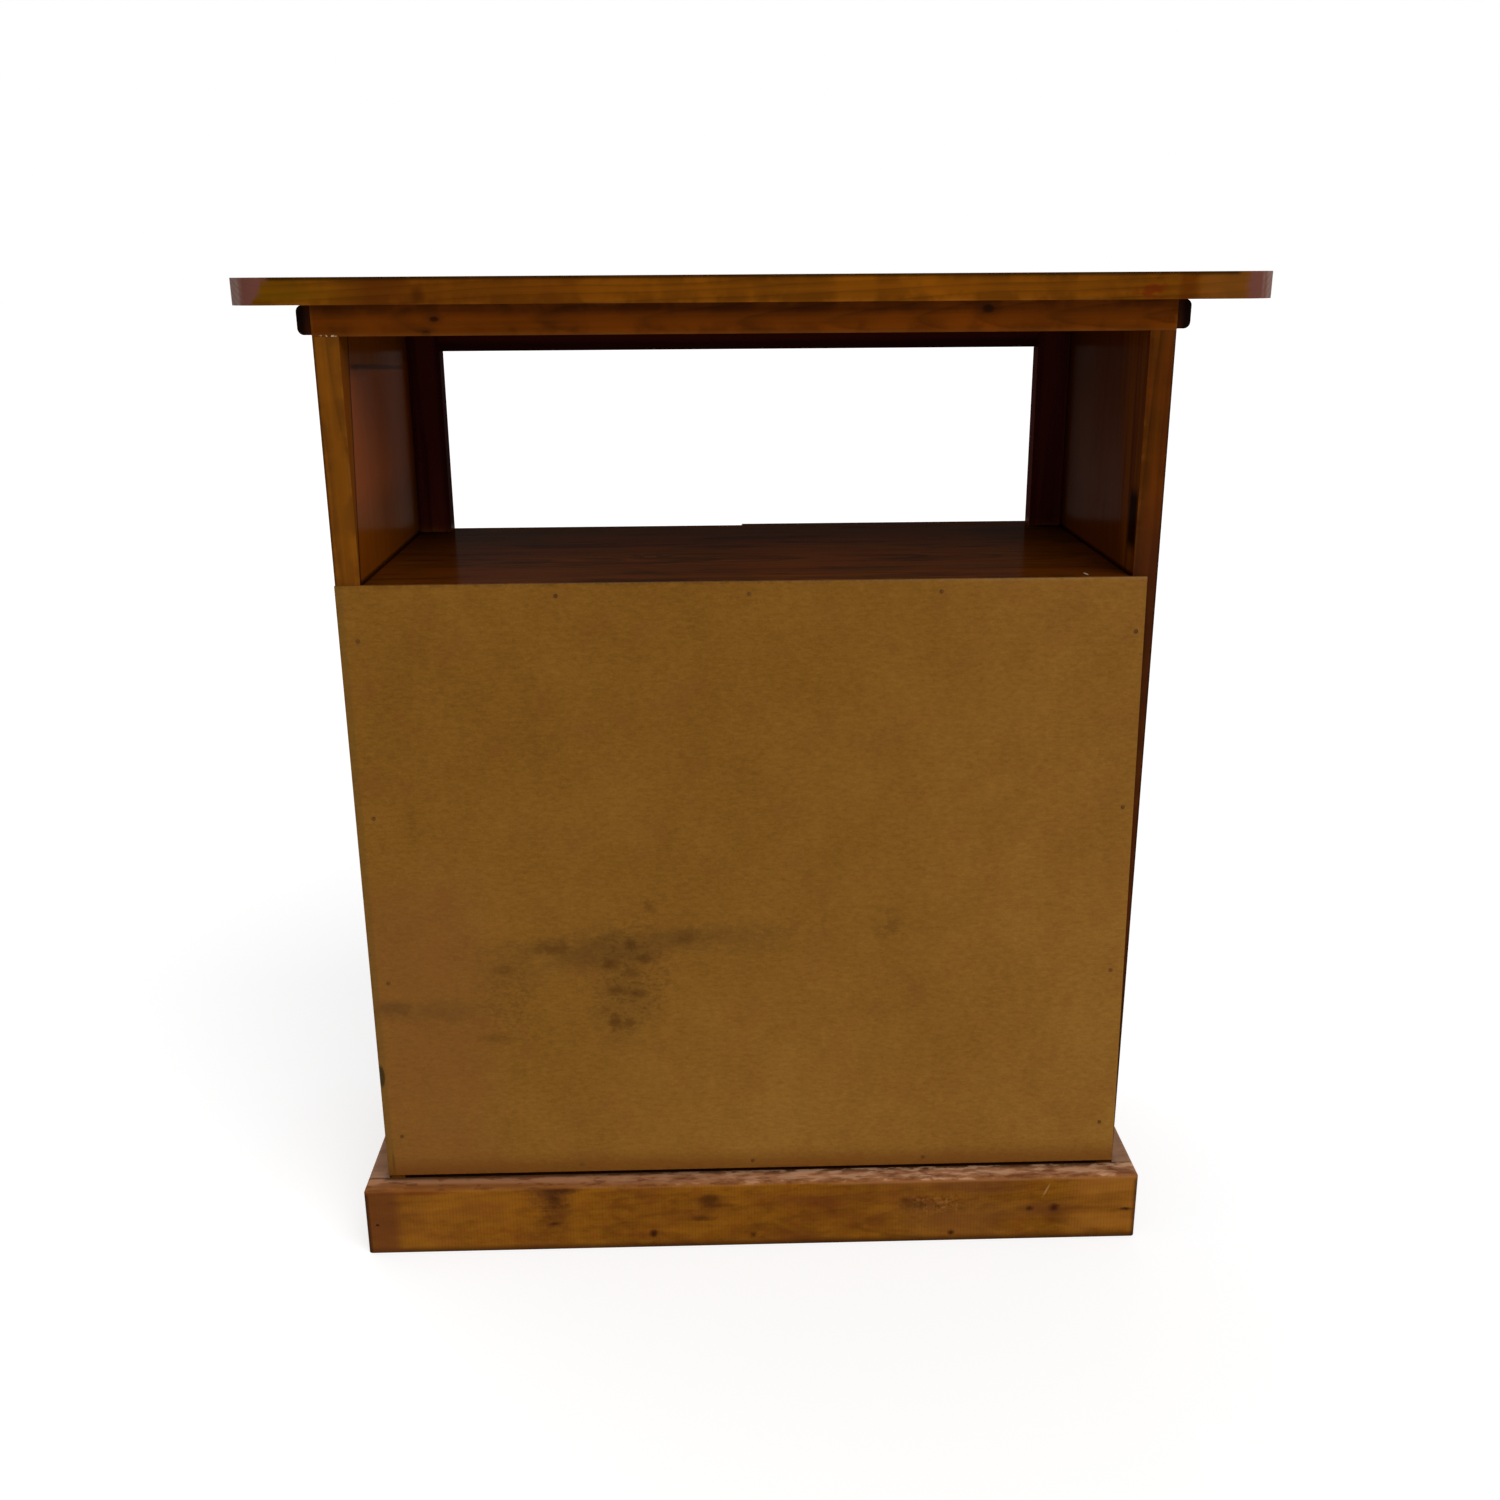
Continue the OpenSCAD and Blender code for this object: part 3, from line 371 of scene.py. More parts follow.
def painted_sheen_ends(wood):
    """A painted sheen round the top's corners, palest where they face sideways and showing the
    rings, cut off raggedly where it runs out into the edge.
    """
    g = wood.g
    x, y, z = wood.xyz
    ragged = (wood.streak - 0.5) * 0.16 + (wood.ripple - 0.5) * 0.2
    slope = (0.835 - z) * 16.0 * x.step(0.0, 0.1)
    turned = (abs(wood.normal[0]) + ragged - slope).step(0.06, 0.22)
    sheen_mask = turned * abs(wood.normal[2]).step(0.8, 0.5)
    sheen_mask = sheen_mask * abs(x).step(0.360, 0.368)
    vertical = g.noise(x * 160, y * 160, z * 10, 2)
    tone = (abs(wood.normal[0]) + (vertical - 0.5) * 0.8).step(0.92, 0.42)
    pale = g.blend(wood.ring * 0.45, g.blend(tone, SHEEN_PALE, SHEEN_DARK), SHEEN_DARK)
    wood.lay(sheen_mask, pale, 0.85)
    wood.rough = wood.rough + sheen_mask * 0.25
    wood.varnish(sheen_mask.at_least(wood.normal[2].step(-0.4, -0.8)), 0.03)


def top_rear_marks(wood):
    """Tone along the rear edge: golden at both ends, redder between, with a line of painted shade
    along the upper arris.
    """
    g = wood.g
    x, y, z = wood.xyz
    rear = wood.normal[1].step(0.4, 0.8)
    red = (x - 0.10).step(0.0, 0.06) * (x - 0.322).step(0.0, -0.04)
    wood.lay(red * rear, srgb(82, 38, 4), 0.42)
    wood.lay(abs(x - 0.278).step(0.024, 0.010) * rear, srgb(70, 24, 6), 0.25)
    golden = (x - 0.335).step(-0.04, 0.02) * rear * wood.streak.step(0.3, 0.6)
    wood.lay(golden, srgb(106, 72, 2), 0.6)
    spots = g.noise(x * 70, y * 70, z * 110, 2)
    rusty = abs(x + 0.298).step(0.016, 0.006) * spots.step(0.45, 0.6) * rear
    wood.lay(rusty, srgb(104, 34, 6), 0.7)
    wood.lay(abs(x + 0.327).step(0.010, 0.003) * rear, srgb(84, 32, 2), 0.5)
    wood.lay(rear * x.step(-0.328, -0.345), srgb(124, 76, 30), 0.4)
    # Painted shade: a dark line along the upper arris, stopping short of the round corners
    arris = z.step(0.8415, 0.8440) * y.step(0.1690, 0.1712)
    wood.lay(arris * (abs(x) - 0.366).step(0.002, -0.004), srgb(38, 20, 1), 0.8)
    knot = wood.reach("Y", 0.2535, 0.8320, 0.0065, 0.8) + (wood.ripple - 0.5) * 1.4
    wood.lay(rear * knot.step(1.6, 0.3), srgb(58, 22, 2), 0.6)
    wood.varnish(rear.at_least(arris), 0.02)
    painted_sheen_ends(wood)


def dull_inside(wood, side):
    """The side board's inner face in the bay; side is 1 for the right board and -1 for the left.

    It is darker and duller, its varnish is a little hollow, and a strip is let into its rear edge.
    It has painted shade along its foot by the shelf, along its front by the face frame and on the
    outer arris of its rear edge, and the right board has a band of painted light at middle height.
    """
    g = wood.g
    x, y, z = wood.xyz
    inner = (wood.normal[0] * -side).step(0.5, 0.9) * z.step(0.605, 0.613)
    rear = wood.normal[1].step(0.4, 0.8)
    front = y.step(0.05, -0.09)
    seam_y = 0.1395 + (z - 0.753) * -0.148
    if side > 0:
        strip = (y - seam_y).step(-0.0015, 0.0015) * inner
        wood.lay(inner, srgb(118, 54, 6), 0.68)
        # Painted light: a lighter band across the inner face at middle height
        lit = inner * z.step(0.650, 0.690) * z.step(0.776, 0.766)
        wood.lay(lit, srgb(158, 72, 10), 0.5)
        wood.lay(strip, srgb(116, 62, 8), 0.8)
        wood.lay(abs(y - seam_y).step(0.0024, 0.0010) * inner, srgb(26, 9, 1), 0.75)
        # A thin dark line across the inner face near its top
        dark_line = abs(z - (0.7705 + y * 0.058)).step(0.0030, 0.0008)
        wood.lay(dark_line * inner * y.step(0.140, 0.125) * y.step(-0.085, -0.060), DARK_MARKS_AND_SHADE, 0.6)
        wood.varnish(inner, 0.034)
        wood.varnish(inner * front, 0.085)
        wood.varnish(inner * z.step(0.772, 0.778) * y.step(0.02, 0.06), 0.02)
        wood.lay(rear, srgb(112, 64, 24), 0.3)
    else:
        strip = (y - seam_y + 0.03).step(-0.03, 0.01) * inner
        streaks = g.noise(x * 90, y * 110, z * 5, 2)
        wood.lay(inner, srgb(82, 34, 5), 0.75)
        wood.lay(strip * streaks.step(0.34, 0.60), srgb(118, 60, 5), 0.6)
        mark = abs(y - 0.150).step(0.016, 0.006) * abs(z - 0.655).step(0.030, 0.016)
        wood.lay(inner * mark * wood.streak.step(0.2, 0.4), DARK_MARKS_AND_SHADE, 0.92)
        wood.varnish(inner, 0.010 + z.step(0.76, 0.66) * 0.016 + front * 0.026)
        wood.lay(rear * wood.ripple.step(0.35, 0.6), srgb(108, 46, 8), 0.35)
        wood.lay(rear * z.step(0.70, 0.63), srgb(46, 20, 14), 0.45)
    wood.varnish(strip, 0.006)
    wood.lay(inner * front, srgb(30, 11, 2), 0.30)
    # Painted shade in the inner face's corners, along the shelf and along the face frame
    corner = z.step(0.6150, 0.6115).at_least(y.step(-0.094, -0.0972))
    wood.lay(inner * corner, DARK_MARKS_AND_SHADE, 0.85)
    # Painted shade along the outer arris of the rear edge
    arris = abs(x - MIDDLE).step(0.3275, 0.3296) * rear
    wood.lay(arris, srgb(40, 14, 2), 0.6)
    wood.varnish(rear, 0.03)
    wood.rough = wood.rough + inner * 0.2
    hollow = (0.06 - y).at_least(0.0)
    wood.swell = (hollow * hollow * hollow * 6.5 + wood.fibre * 0.0002) * inner


def painted_shade_behind(wood):
    """Painted shade on the face frame's back and its edges in the bay, darker in streaks."""
    x, y, z = wood.xyz
    behind = wood.normal[1].step(0.3, 0.8).at_least(abs(wood.normal[0]).step(0.6, 0.9))
    behind = behind * z.step(0.60, 0.62) * abs(x - MIDDLE).step(0.3290, 0.3270)
    wood.lay(behind, srgb(76, 26, 24), 0.92)
    dark = wood.streak.step(0.40, 0.62).at_least(abs(x - MIDDLE).step(0.2880, 0.2810))
    wood.lay(behind * dark, srgb(30, 8, 8), 0.6 - x.step(0.05, -0.05) * 0.3)
    wood.varnish(behind, 0.008)


def painted_shade_rail(wood):
    """Painted shade the same way on the frame's upper rail: its back, and its lower face."""
    x, y, z = wood.xyz
    behind = wood.normal[1].step(0.3, 0.8).at_least(wood.normal[2] * -1.0)
    behind = behind.at_least(y.step(-0.112, -0.104)).step(0.3, 0.8)
    wood.lay(behind, srgb(72, 22, 16), 0.93)
    wood.lay(behind * z.step(0.790, 0.784), srgb(28, 8, 6), 0.6)
    wood.varnish(behind, 0.008)


def painted_shade_above(wood):
    """Painted shade on upper edges in the bay's opening, with little varnish."""
    above = wood.normal[2].step(0.3, 0.8) * wood.xyz[2].step(0.59, 0.60)
    wood.lay(above, srgb(42, 17, 5), 0.85)
    wood.varnish(above, 0.01)


def shelf_marks(wood):
    """Reddish and dark streaks on the bay's shelf, painted shade at its ends against the side
    boards, and one pale speck.
    """
    g = wood.g
    x, y, z = wood.xyz
    up = wood.normal[2].step(0.5, 0.9)
    red = g.noise(x * 12, y * 34, z * 9, 3, 0.6)
    wood.lay(up * red.step(0.42, 0.62), srgb(82, 34, 4), 0.5)
    dark = g.noise(x * 9 + 4, y * 60, z * 9, 3, 0.6)
    wood.lay(up * dark.step(0.50, 0.66), srgb(34, 15, 4), 0.55)
    wood.lay(up * y.step(0.03, -0.10), srgb(34, 18, 8), 0.50)
    # Painted shade at the shelf's ends, where it meets the side boards
    ends = abs(x - MIDDLE).step(0.3060, 0.3092)
    wood.lay(up * ends, DARK_MARKS_AND_SHADE, 0.9)
    speck = g.spot(x - MIDDLE + 0.275, y - 0.150, 0.0012, 0.0050, 0.1)
    wood.lay(up * speck.step(1.3, 0.6), srgb(176, 156, 138), 0.8)
    wood.varnish(up, 0.013)


def dark_gap(wood):
    """The bottom board's rear edge, in shadow behind the gap under the back panel."""
    rear = wood.normal[1].step(0.4, 0.8)
    wood.lay(rear, DARK_MARKS_AND_SHADE, 0.95)
    wood.varnish(rear, 0.0)


def rail_marks(wood):
    """A lighter lower arris, and flecks of old filler under the left end."""
    x, y, z = wood.xyz
    rear = wood.normal[1].step(0.2, 0.6)
    wood.lay(rear * z.step(0.8055, 0.8028), srgb(104, 56, 16), 0.55)
    wood.lay(rear * z.step(0.8120, 0.8200) * wood.streak.step(0.4, 0.6), srgb(60, 20, 1), 0.4)
    flecks = wood.g.noise(x * 240, y * 240, z * 240, 2, 0.6)
    foot = (
        z.step(0.8036, 0.8024)
        * (x - MIDDLE - 0.3105).step(0.0, 0.002)
        * (x - MIDDLE - 0.3265).step(0.0, -0.002)
    )
    wood.lay(foot * flecks.step(0.50, 0.62), srgb(206, 188, 156), 0.85)


def black_ends(wood):
    """The mouldings' rear ends: dark end grain painted near black as shade, browner towards the
    carcass.
    """
    ends = wood.normal[1].step(0.5, 0.9)
    near = abs(wood.xyz[0] - MIDDLE).step(0.3385, 0.3320)
    wood.lay(ends, wood.g.blend(near, srgb(22, 8, 3), srgb(62, 28, 12)), 0.95)
    wood.varnish(ends, 0.02)


def plinth_marks(wood):
    """Pinkish upper face, a painted highlight of the light from above, rougher and mottled with
    darker streaks.
    """
    x, y, z = wood.xyz
    up = wood.normal[2].step(0.25, 0.75)
    patchy = wood.g.noise(x * 30, y * 90, z * 60, 3, 0.6)
    # Painted highlight: the upper face lit from above, pinkish
    wood.lay(up, srgb(164, 116, 84), 0.8)
    wood.lay(up * patchy.step(0.45, 0.66), srgb(104, 60, 32), 0.72)
    beside = (abs(x - MIDDLE) - HALF_WIDTH).at_least(abs(y - DEPTH_MIDDLE) - HALF_DEPTH)
    wood.lay(up * beside.step(0.0065, 0.0015), DARK_MARKS_AND_SHADE, 0.7)
    joint = abs(abs(y - DEPTH_MIDDLE) - HALF_DEPTH).step(0.0022, 0.0010)
    joint = joint * abs(x - MIDDLE).step(0.328, 0.331)
    wood.lay(joint * wood.normal[1].step(0.5, 0.2), DARK_MARKS_AND_SHADE, 0.75)
    wood.rough = wood.rough + up * 0.15
    wood.varnish(up, 0.04)


def plinth_side_marks(wood):
    """The same, greyer on the side boards."""
    plinth_marks(wood)
    up = wood.normal[2].step(0.25, 0.75)
    # The painted highlight on the upper face, greyer here
    wood.lay(up, srgb(140, 110, 88), 0.6)


# Dark places on the plinth's rear board: x and z in metres, half width, half height, strength
PLINTH_SPOTS = (
    (0.1870, 0.0510, 0.0085, 0.0075, 0.70), (0.1790, 0.0610, 0.0120, 0.0040, 0.45),
    (0.1873, 0.0266, 0.0060, 0.0025, 0.80), (0.1960, 0.0300, 0.0120, 0.0050, 0.40),
    (0.0466, 0.0480, 0.0070, 0.0062, 0.65), (0.0561, 0.0290, 0.0095, 0.0032, 0.65),
    (0.0380, 0.0420, 0.0150, 0.0020, 0.55),
    (0.0980, 0.0136, 0.0030, 0.0034, 0.95), (0.0075, 0.0102, 0.0030, 0.0030, 0.85),
    (-0.1382, 0.0386, 0.0110, 0.0050, 0.30), (-0.1305, 0.0436, 0.0050, 0.0036, 0.55),
    (-0.2447, 0.0318, 0.0034, 0.0024, 0.90), (-0.2671, 0.0321, 0.0042, 0.0038, 0.90),
    (-0.3332, 0.0295, 0.0060, 0.0015, 0.85), (-0.1734, 0.0079, 0.0026, 0.0026, 0.90),
)

# Broad tints there: x and z in metres, half width, half height, colour, strength
PLINTH_TINTS = (
    (0.1900, 0.0560, 0.0230, 0.0130, srgb(60, 28, 20), 0.65),
    (0.1830, 0.0330, 0.0130, 0.0160, srgb(74, 36, 20), 0.50),
    (0.3100, 0.0622, 0.0400, 0.0024, srgb(112, 46, 16), 0.60),
    (-0.1900, 0.0560, 0.0500, 0.0100, srgb(98, 50, 30), 0.50),
    (-0.1450, 0.0400, 0.0220, 0.0100, srgb(84, 46, 22), 0.45),
    (-0.2600, 0.0330, 0.0220, 0.0090, srgb(92, 50, 24), 0.45),
    (0.0450, 0.0440, 0.0160, 0.0120, srgb(92, 48, 18), 0.45),
    (-0.0500, 0.0360, 0.0260, 0.0180, srgb(98, 46, 18), 0.40),
    (-0.1750, 0.0300, 0.0700, 0.0320, srgb(140, 90, 42), 0.34),
)


def plinth_rear_marks(wood):
    """The rear board's face: mottled, with knots, flaking finish, cutter marks and a scratch."""
    g = wood.g
    x, y, z = wood.xyz
    plinth_marks(wood)
    rear = wood.normal[1].step(0.3, 0.7)
    grit = g.noise(x * 260, y * 260, z * 320, 3, 0.7)
    ragged = (wood.ripple - 0.5) * 1.9 + (wood.streak - 0.5) * 1.5 + (grit - 0.5) * 1.1
    mottle = g.noise(x * 58 + 5, y * 60, z * 105, 3, 0.6)
    wood.lay(rear * mottle.step(0.50, 0.64), srgb(152, 96, 26), 0.36)
    wood.lay(rear * mottle.step(0.48, 0.34), srgb(92, 42, 12), 0.36)
    tinge = g.noise(x * 96 + 1, y * 60, z * 80 + 3, 2, 0.6)
    wood.lay(rear * tinge.step(0.52, 0.66), srgb(126, 58, 14), 0.32)
    golden = g.noise(x * 11 + 3, y * 14, z * 46, 4, 0.6)
    wood.lay(rear * golden.step(0.46, 0.70), srgb(154, 96, 22), 0.55)
    reddish = g.noise(x * 15 + 9, y * 18, z * 40, 4, 0.6)
    wood.lay(rear * reddish.step(0.46, 0.70), srgb(108, 53, 22), 0.46)
    bright = (x + 0.265).step(0.0, -0.04) + (x - 0.30).step(-0.16, 0.02) * 0.4
    wood.lay(rear * bright * wood.ripple.step(0.2, 0.55), srgb(176, 112, 42), 0.5)
    for px, pz, wide, high, colour, strength in PLINTH_TINTS:
        reach = g.spot(x - px, z - pz, wide, high) + ragged
        wood.lay(rear * reach.step(1.5, 0.2), colour, strength)
    wood.lay(rear * z.step(0.0075, 0.0006), srgb(48, 26, 14), 0.75)
    old = g.spot(x + 0.155, z - 0.039, 0.0360, 0.0120).step(1.3, 0.3)
    wood.lay(rear * old * grit.step(0.52, 0.62), srgb(72, 38, 12), 0.55)
    wood.lay(rear * old * grit.step(0.46, 0.38), srgb(158, 106, 54), 0.55)
    chatter = g.math("SINE", x * 2100.0 + wood.ripple * 2.0)
    wood.lay(rear * chatter.step(0.2, 1.0), srgb(92, 48, 8), 0.16)
    wood.lay(rear * x.step(0.322, 0.334), srgb(100, 53, 26), 0.70)
    for px, pz, wide, high, strength in PLINTH_SPOTS:
        reach = g.spot(x - px, z - pz, wide, high) + ragged
        wood.lay(rear * reach.step(1.7, 0.0), srgb(56, 24, 10), strength)
    scratch = g.spot(x + 0.2592, z - 0.0509, 0.0011, 0.0085, 0.45)
    wood.lay(rear * scratch.step(1.3, 0.2), srgb(190, 146, 96), 0.5)
    arris = z.step(0.0600, 0.0630) * rear * x.step(0.16, 0.0)
    wood.lay(arris * wood.blotch.step(0.35, 0.55), srgb(158, 104, 66), 0.6)
    up = wood.normal[2].step(0.25, 0.75)
    edge = y - (0.1815 - x.step(0.02, 0.30) * 0.007)
    wood.lay(up * edge.step(-0.004, 0.002) * wood.streak.step(0.2, 0.5), srgb(124, 74, 28), 0.8)
    # Painted highlights: pale patches on the upper face, strongest towards negative x; the same
    # noise also lays darker patches
    pale = g.noise(x * 44 + 2, y * 130, z * 90, 3, 0.6)
    wood.lay(up * pale.step(0.48, 0.60) * x.step(0.22, -0.12), srgb(204, 158, 122), 0.6)
    wood.lay(up * pale.step(0.46, 0.36), srgb(92, 50, 26), 0.6)
    corner = (abs(x - MIDDLE) - 0.3446).step(0.0, 0.0032) * wood.normal[1].step(0.10, 0.40)
    wood.lay(corner * z.step(0.064, 0.058), srgb(40, 20, 12), 0.62)
    wood.varnish(rear, 0.03)


# Knots and pins as (axis they run along, the two other places, radius), in metres
TOP = stain(120, 66, 7)
board("top_plank_rear", "X", "Z", TOP, 11, top_rear_marks, wear=0.1, contrast=0.5, gloss=0.3,
      knots=(("Z", -0.21, 0.118, 0.008),))
board("top_plank_middle", "X", "Z", TOP, 12, painted_sheen_ends, wear=0, gloss=0.3,
      knots=(("Z", 0.16, 0.004, 0.010), ("Z", -0.30, -0.03, 0.006)))
board("top_plank_front", "X", "Z", TOP, 13, painted_sheen_ends, gloss=0.3,
      knots=(("Z", -0.08, -0.135, 0.009),))
board("rear_top_rail", "X", "Y", stain(102, 48, 2), 21, rail_marks, wear=0.1, contrast=0.6,
      gloss=0.03, pins=(("Y", 0.2441, 0.8140, 0.0020), ("Y", 0.2508, 0.8040, 0.0022),
                        ("Y", -0.1770, 0.8190, 0.0026)))
board("left_top_moulding", "Y", "X", WALNUT, 22, black_ends, wear=0.15)
board("right_top_moulding", "Y", "X", WALNUT, 23, black_ends, wear=0.15)
board("front_top_moulding", "X", "Y", WALNUT, 24, wear=0.15)
board("right_side_panel", "Z", "X", HONEY, 31, lambda wood: dull_inside(wood, 1), wear=0.15,
      contrast=0.8, gloss=0.12, pins=(("X", 0.068, 0.7353, 0.0035),),
      knots=(("X", -0.02, 0.36, 0.011), ("X", 0.07, 0.19, 0.008)))
board("left_side_panel", "Z", "X", stain(84, 42, 4), 32, lambda wood: dull_inside(wood, -1),
      wear=0.15, contrast=0.8, gloss=0.12, pins=(("X", 0.020, 0.702, 0.0048),),
      knots=(("X", -0.05, 0.45, 0.010), ("X", 0.09, 0.26, 0.007)))
board("bay_shelf", "X", "Z", stain(70, 34, 4), 41, shelf_marks, wear=0.1,
      knots=(("Z", 0.09, 0.05, 0.006), ("Z", -0.17, -0.03, 0.006)))
board("bottom_board", "X", "Z", AMBER, 42, dark_gap, gloss=0.15, knots=(("Z", -0.12, 0.02, 0.009),))
board("inner_shelf", "X", "Z", AMBER, 43, gloss=0.2, knots=(("Z", 0.14, 0.01, 0.008),))
board("left_frame_stile", "Z", "Y", HONEY, 51, painted_shade_behind, knots=(("Y", -0.298, 0.31, 0.007),))
board("right_frame_stile", "Z", "Y", HONEY, 52, painted_shade_behind, knots=(("Y", 0.314, 0.70, 0.006),))
board("frame_top_rail", "X", "Y", AMBER, 53, painted_shade_rail, wear=0.15,
      knots=(("Y", 0.06, 0.80, 0.006),))
board("frame_mid_rail", "X", "Y", HONEY, 54, painted_shade_above, knots=(("Y", -0.14, 0.592, 0.006),))
board("frame_bottom_rail", "X", "Y", HONEY, 55)
board("plinth_rear_board", "X", "Y", OCHRE, 61, plinth_rear_marks, contrast=0.45, wear=0)
board("plinth_front_board", "X", "Y", OCHRE, 62, plinth_marks,
      knots=(("Y", -0.11, 0.036, 0.007), ("Y", 0.24, 0.028, 0.006)))
board("plinth_left_board", "Y", "X", OCHRE, 63, plinth_side_marks,
      knots=(("X", 0.05, 0.034, 0.006),))
board("plinth_right_board", "Y", "X", OCHRE, 64, plinth_side_marks,
      knots=(("X", -0.04, 0.030, 0.006),))

# The doors' boards, as (name, axis of its grain, tones), and their knots
DOOR_BOARDS = (
    ("hinge_stile", "Z", HONEY), ("meeting_stile", "Z", HONEY), ("top_rail", "X", HONEY),
    ("bottom_rail", "X", HONEY), ("panel", "Z", AMBER),
)
DOOR_KNOTS = {
    "left": {
        "hinge_stile": (("Y", -0.292, 0.42, 0.006),),
        "bottom_rail": (("Y", -0.165, 0.105, 0.007),),
        "panel": (("Y", -0.143, 0.44, 0.010), ("Y", -0.185, 0.24, 0.007)),
    },
    "right": {
        "meeting_stile": (("Y", 0.041, 0.205, 0.006),),
        "top_rail": (("Y", 0.215, 0.572, 0.006),),
        "panel": (("Y", 0.196, 0.335, 0.011), ("Y", 0.128, 0.160, 0.006)),
    },
}
for side, seed in (("left", 70), ("right", 80)):
    name = side + "_door_"
    for offset, (part, grain, tones) in enumerate(DOOR_BOARDS, 1):
        framing = part != "panel"
        board(name + part, grain, "Y", tones, seed + offset, painted_shade_above if framing else None,
              wear=0.3 if framing else 0, knots=DOOR_KNOTS[side].get(part, ()))
    board(name + "knob", "Y", "Z", WALNUT, seed + 6, wear=0, spacing=0.0025, gloss=0.35)
board("plinth_glue_blocks", "Z", "X", RAW, 91, wear=0, rough=0.3, gloss=0.0)
board("face_frame_dowels", "X", "Y", RAW, 92, wear=0, rough=0.3, gloss=0.0)


# Hardboard, metal and plastic

# Damp on the back panel, soft and greyish: x and z in metres, half width and height, lean, strength
DAMP = (
    (0.1050, 0.2945, 0.1050, 0.0105, -0.07, 0.34), (0.1690, 0.2915, 0.0290, 0.0085, 0.0, 0.34),
    (0.1130, 0.2900, 0.0340, 0.0165, 0.0, 0.45), (0.1440, 0.2850, 0.0360, 0.0130, 0.0, 0.40),
    (0.0600, 0.3005, 0.0380, 0.0070, 0.0, 0.40), (0.0060, 0.2990, 0.0300, 0.0120, 0.0, 0.20),
    (0.1110, 0.2520, 0.0230, 0.0430, 0.0, 0.26), (0.2080, 0.2700, 0.0340, 0.0180, 0.0, 0.14),
    (0.3090, 0.2370, 0.0150, 0.0075, 0.0, 0.45), (0.2820, 0.2330, 0.0460, 0.0085, 0.0, 0.26),
)
# Drips below it, smaller and browner: x and z in metres, half width, half height, strength
DRIPS = (
    (0.1214, 0.2755, 0.0066, 0.0040, 0.54), (0.0920, 0.2800, 0.0060, 0.0038, 0.48),
    (0.1055, 0.2942, 0.0048, 0.0044, 0.45), (0.0573, 0.2993, 0.0070, 0.0044, 0.30),
    (0.1196, 0.2515, 0.0070, 0.0036, 0.50), (0.0993, 0.2477, 0.0062, 0.0034, 0.42),
    (0.1280, 0.2332, 0.0038, 0.0034, 0.35), (0.1200, 0.2193, 0.0052, 0.0068, 0.60),
    (0.1079, 0.2199, 0.0040, 0.0046, 0.42), (0.0881, 0.3296, 0.0036, 0.0050, 0.42),
    (0.2242, 0.2066, 0.0105, 0.0046, 0.30), (0.2140, 0.2732, 0.0062, 0.0046, 0.30),
    (0.1713, 0.2918, 0.0100, 0.0060, 0.36), (0.1030, 0.2696, 0.0066, 0.0044, 0.42),
)


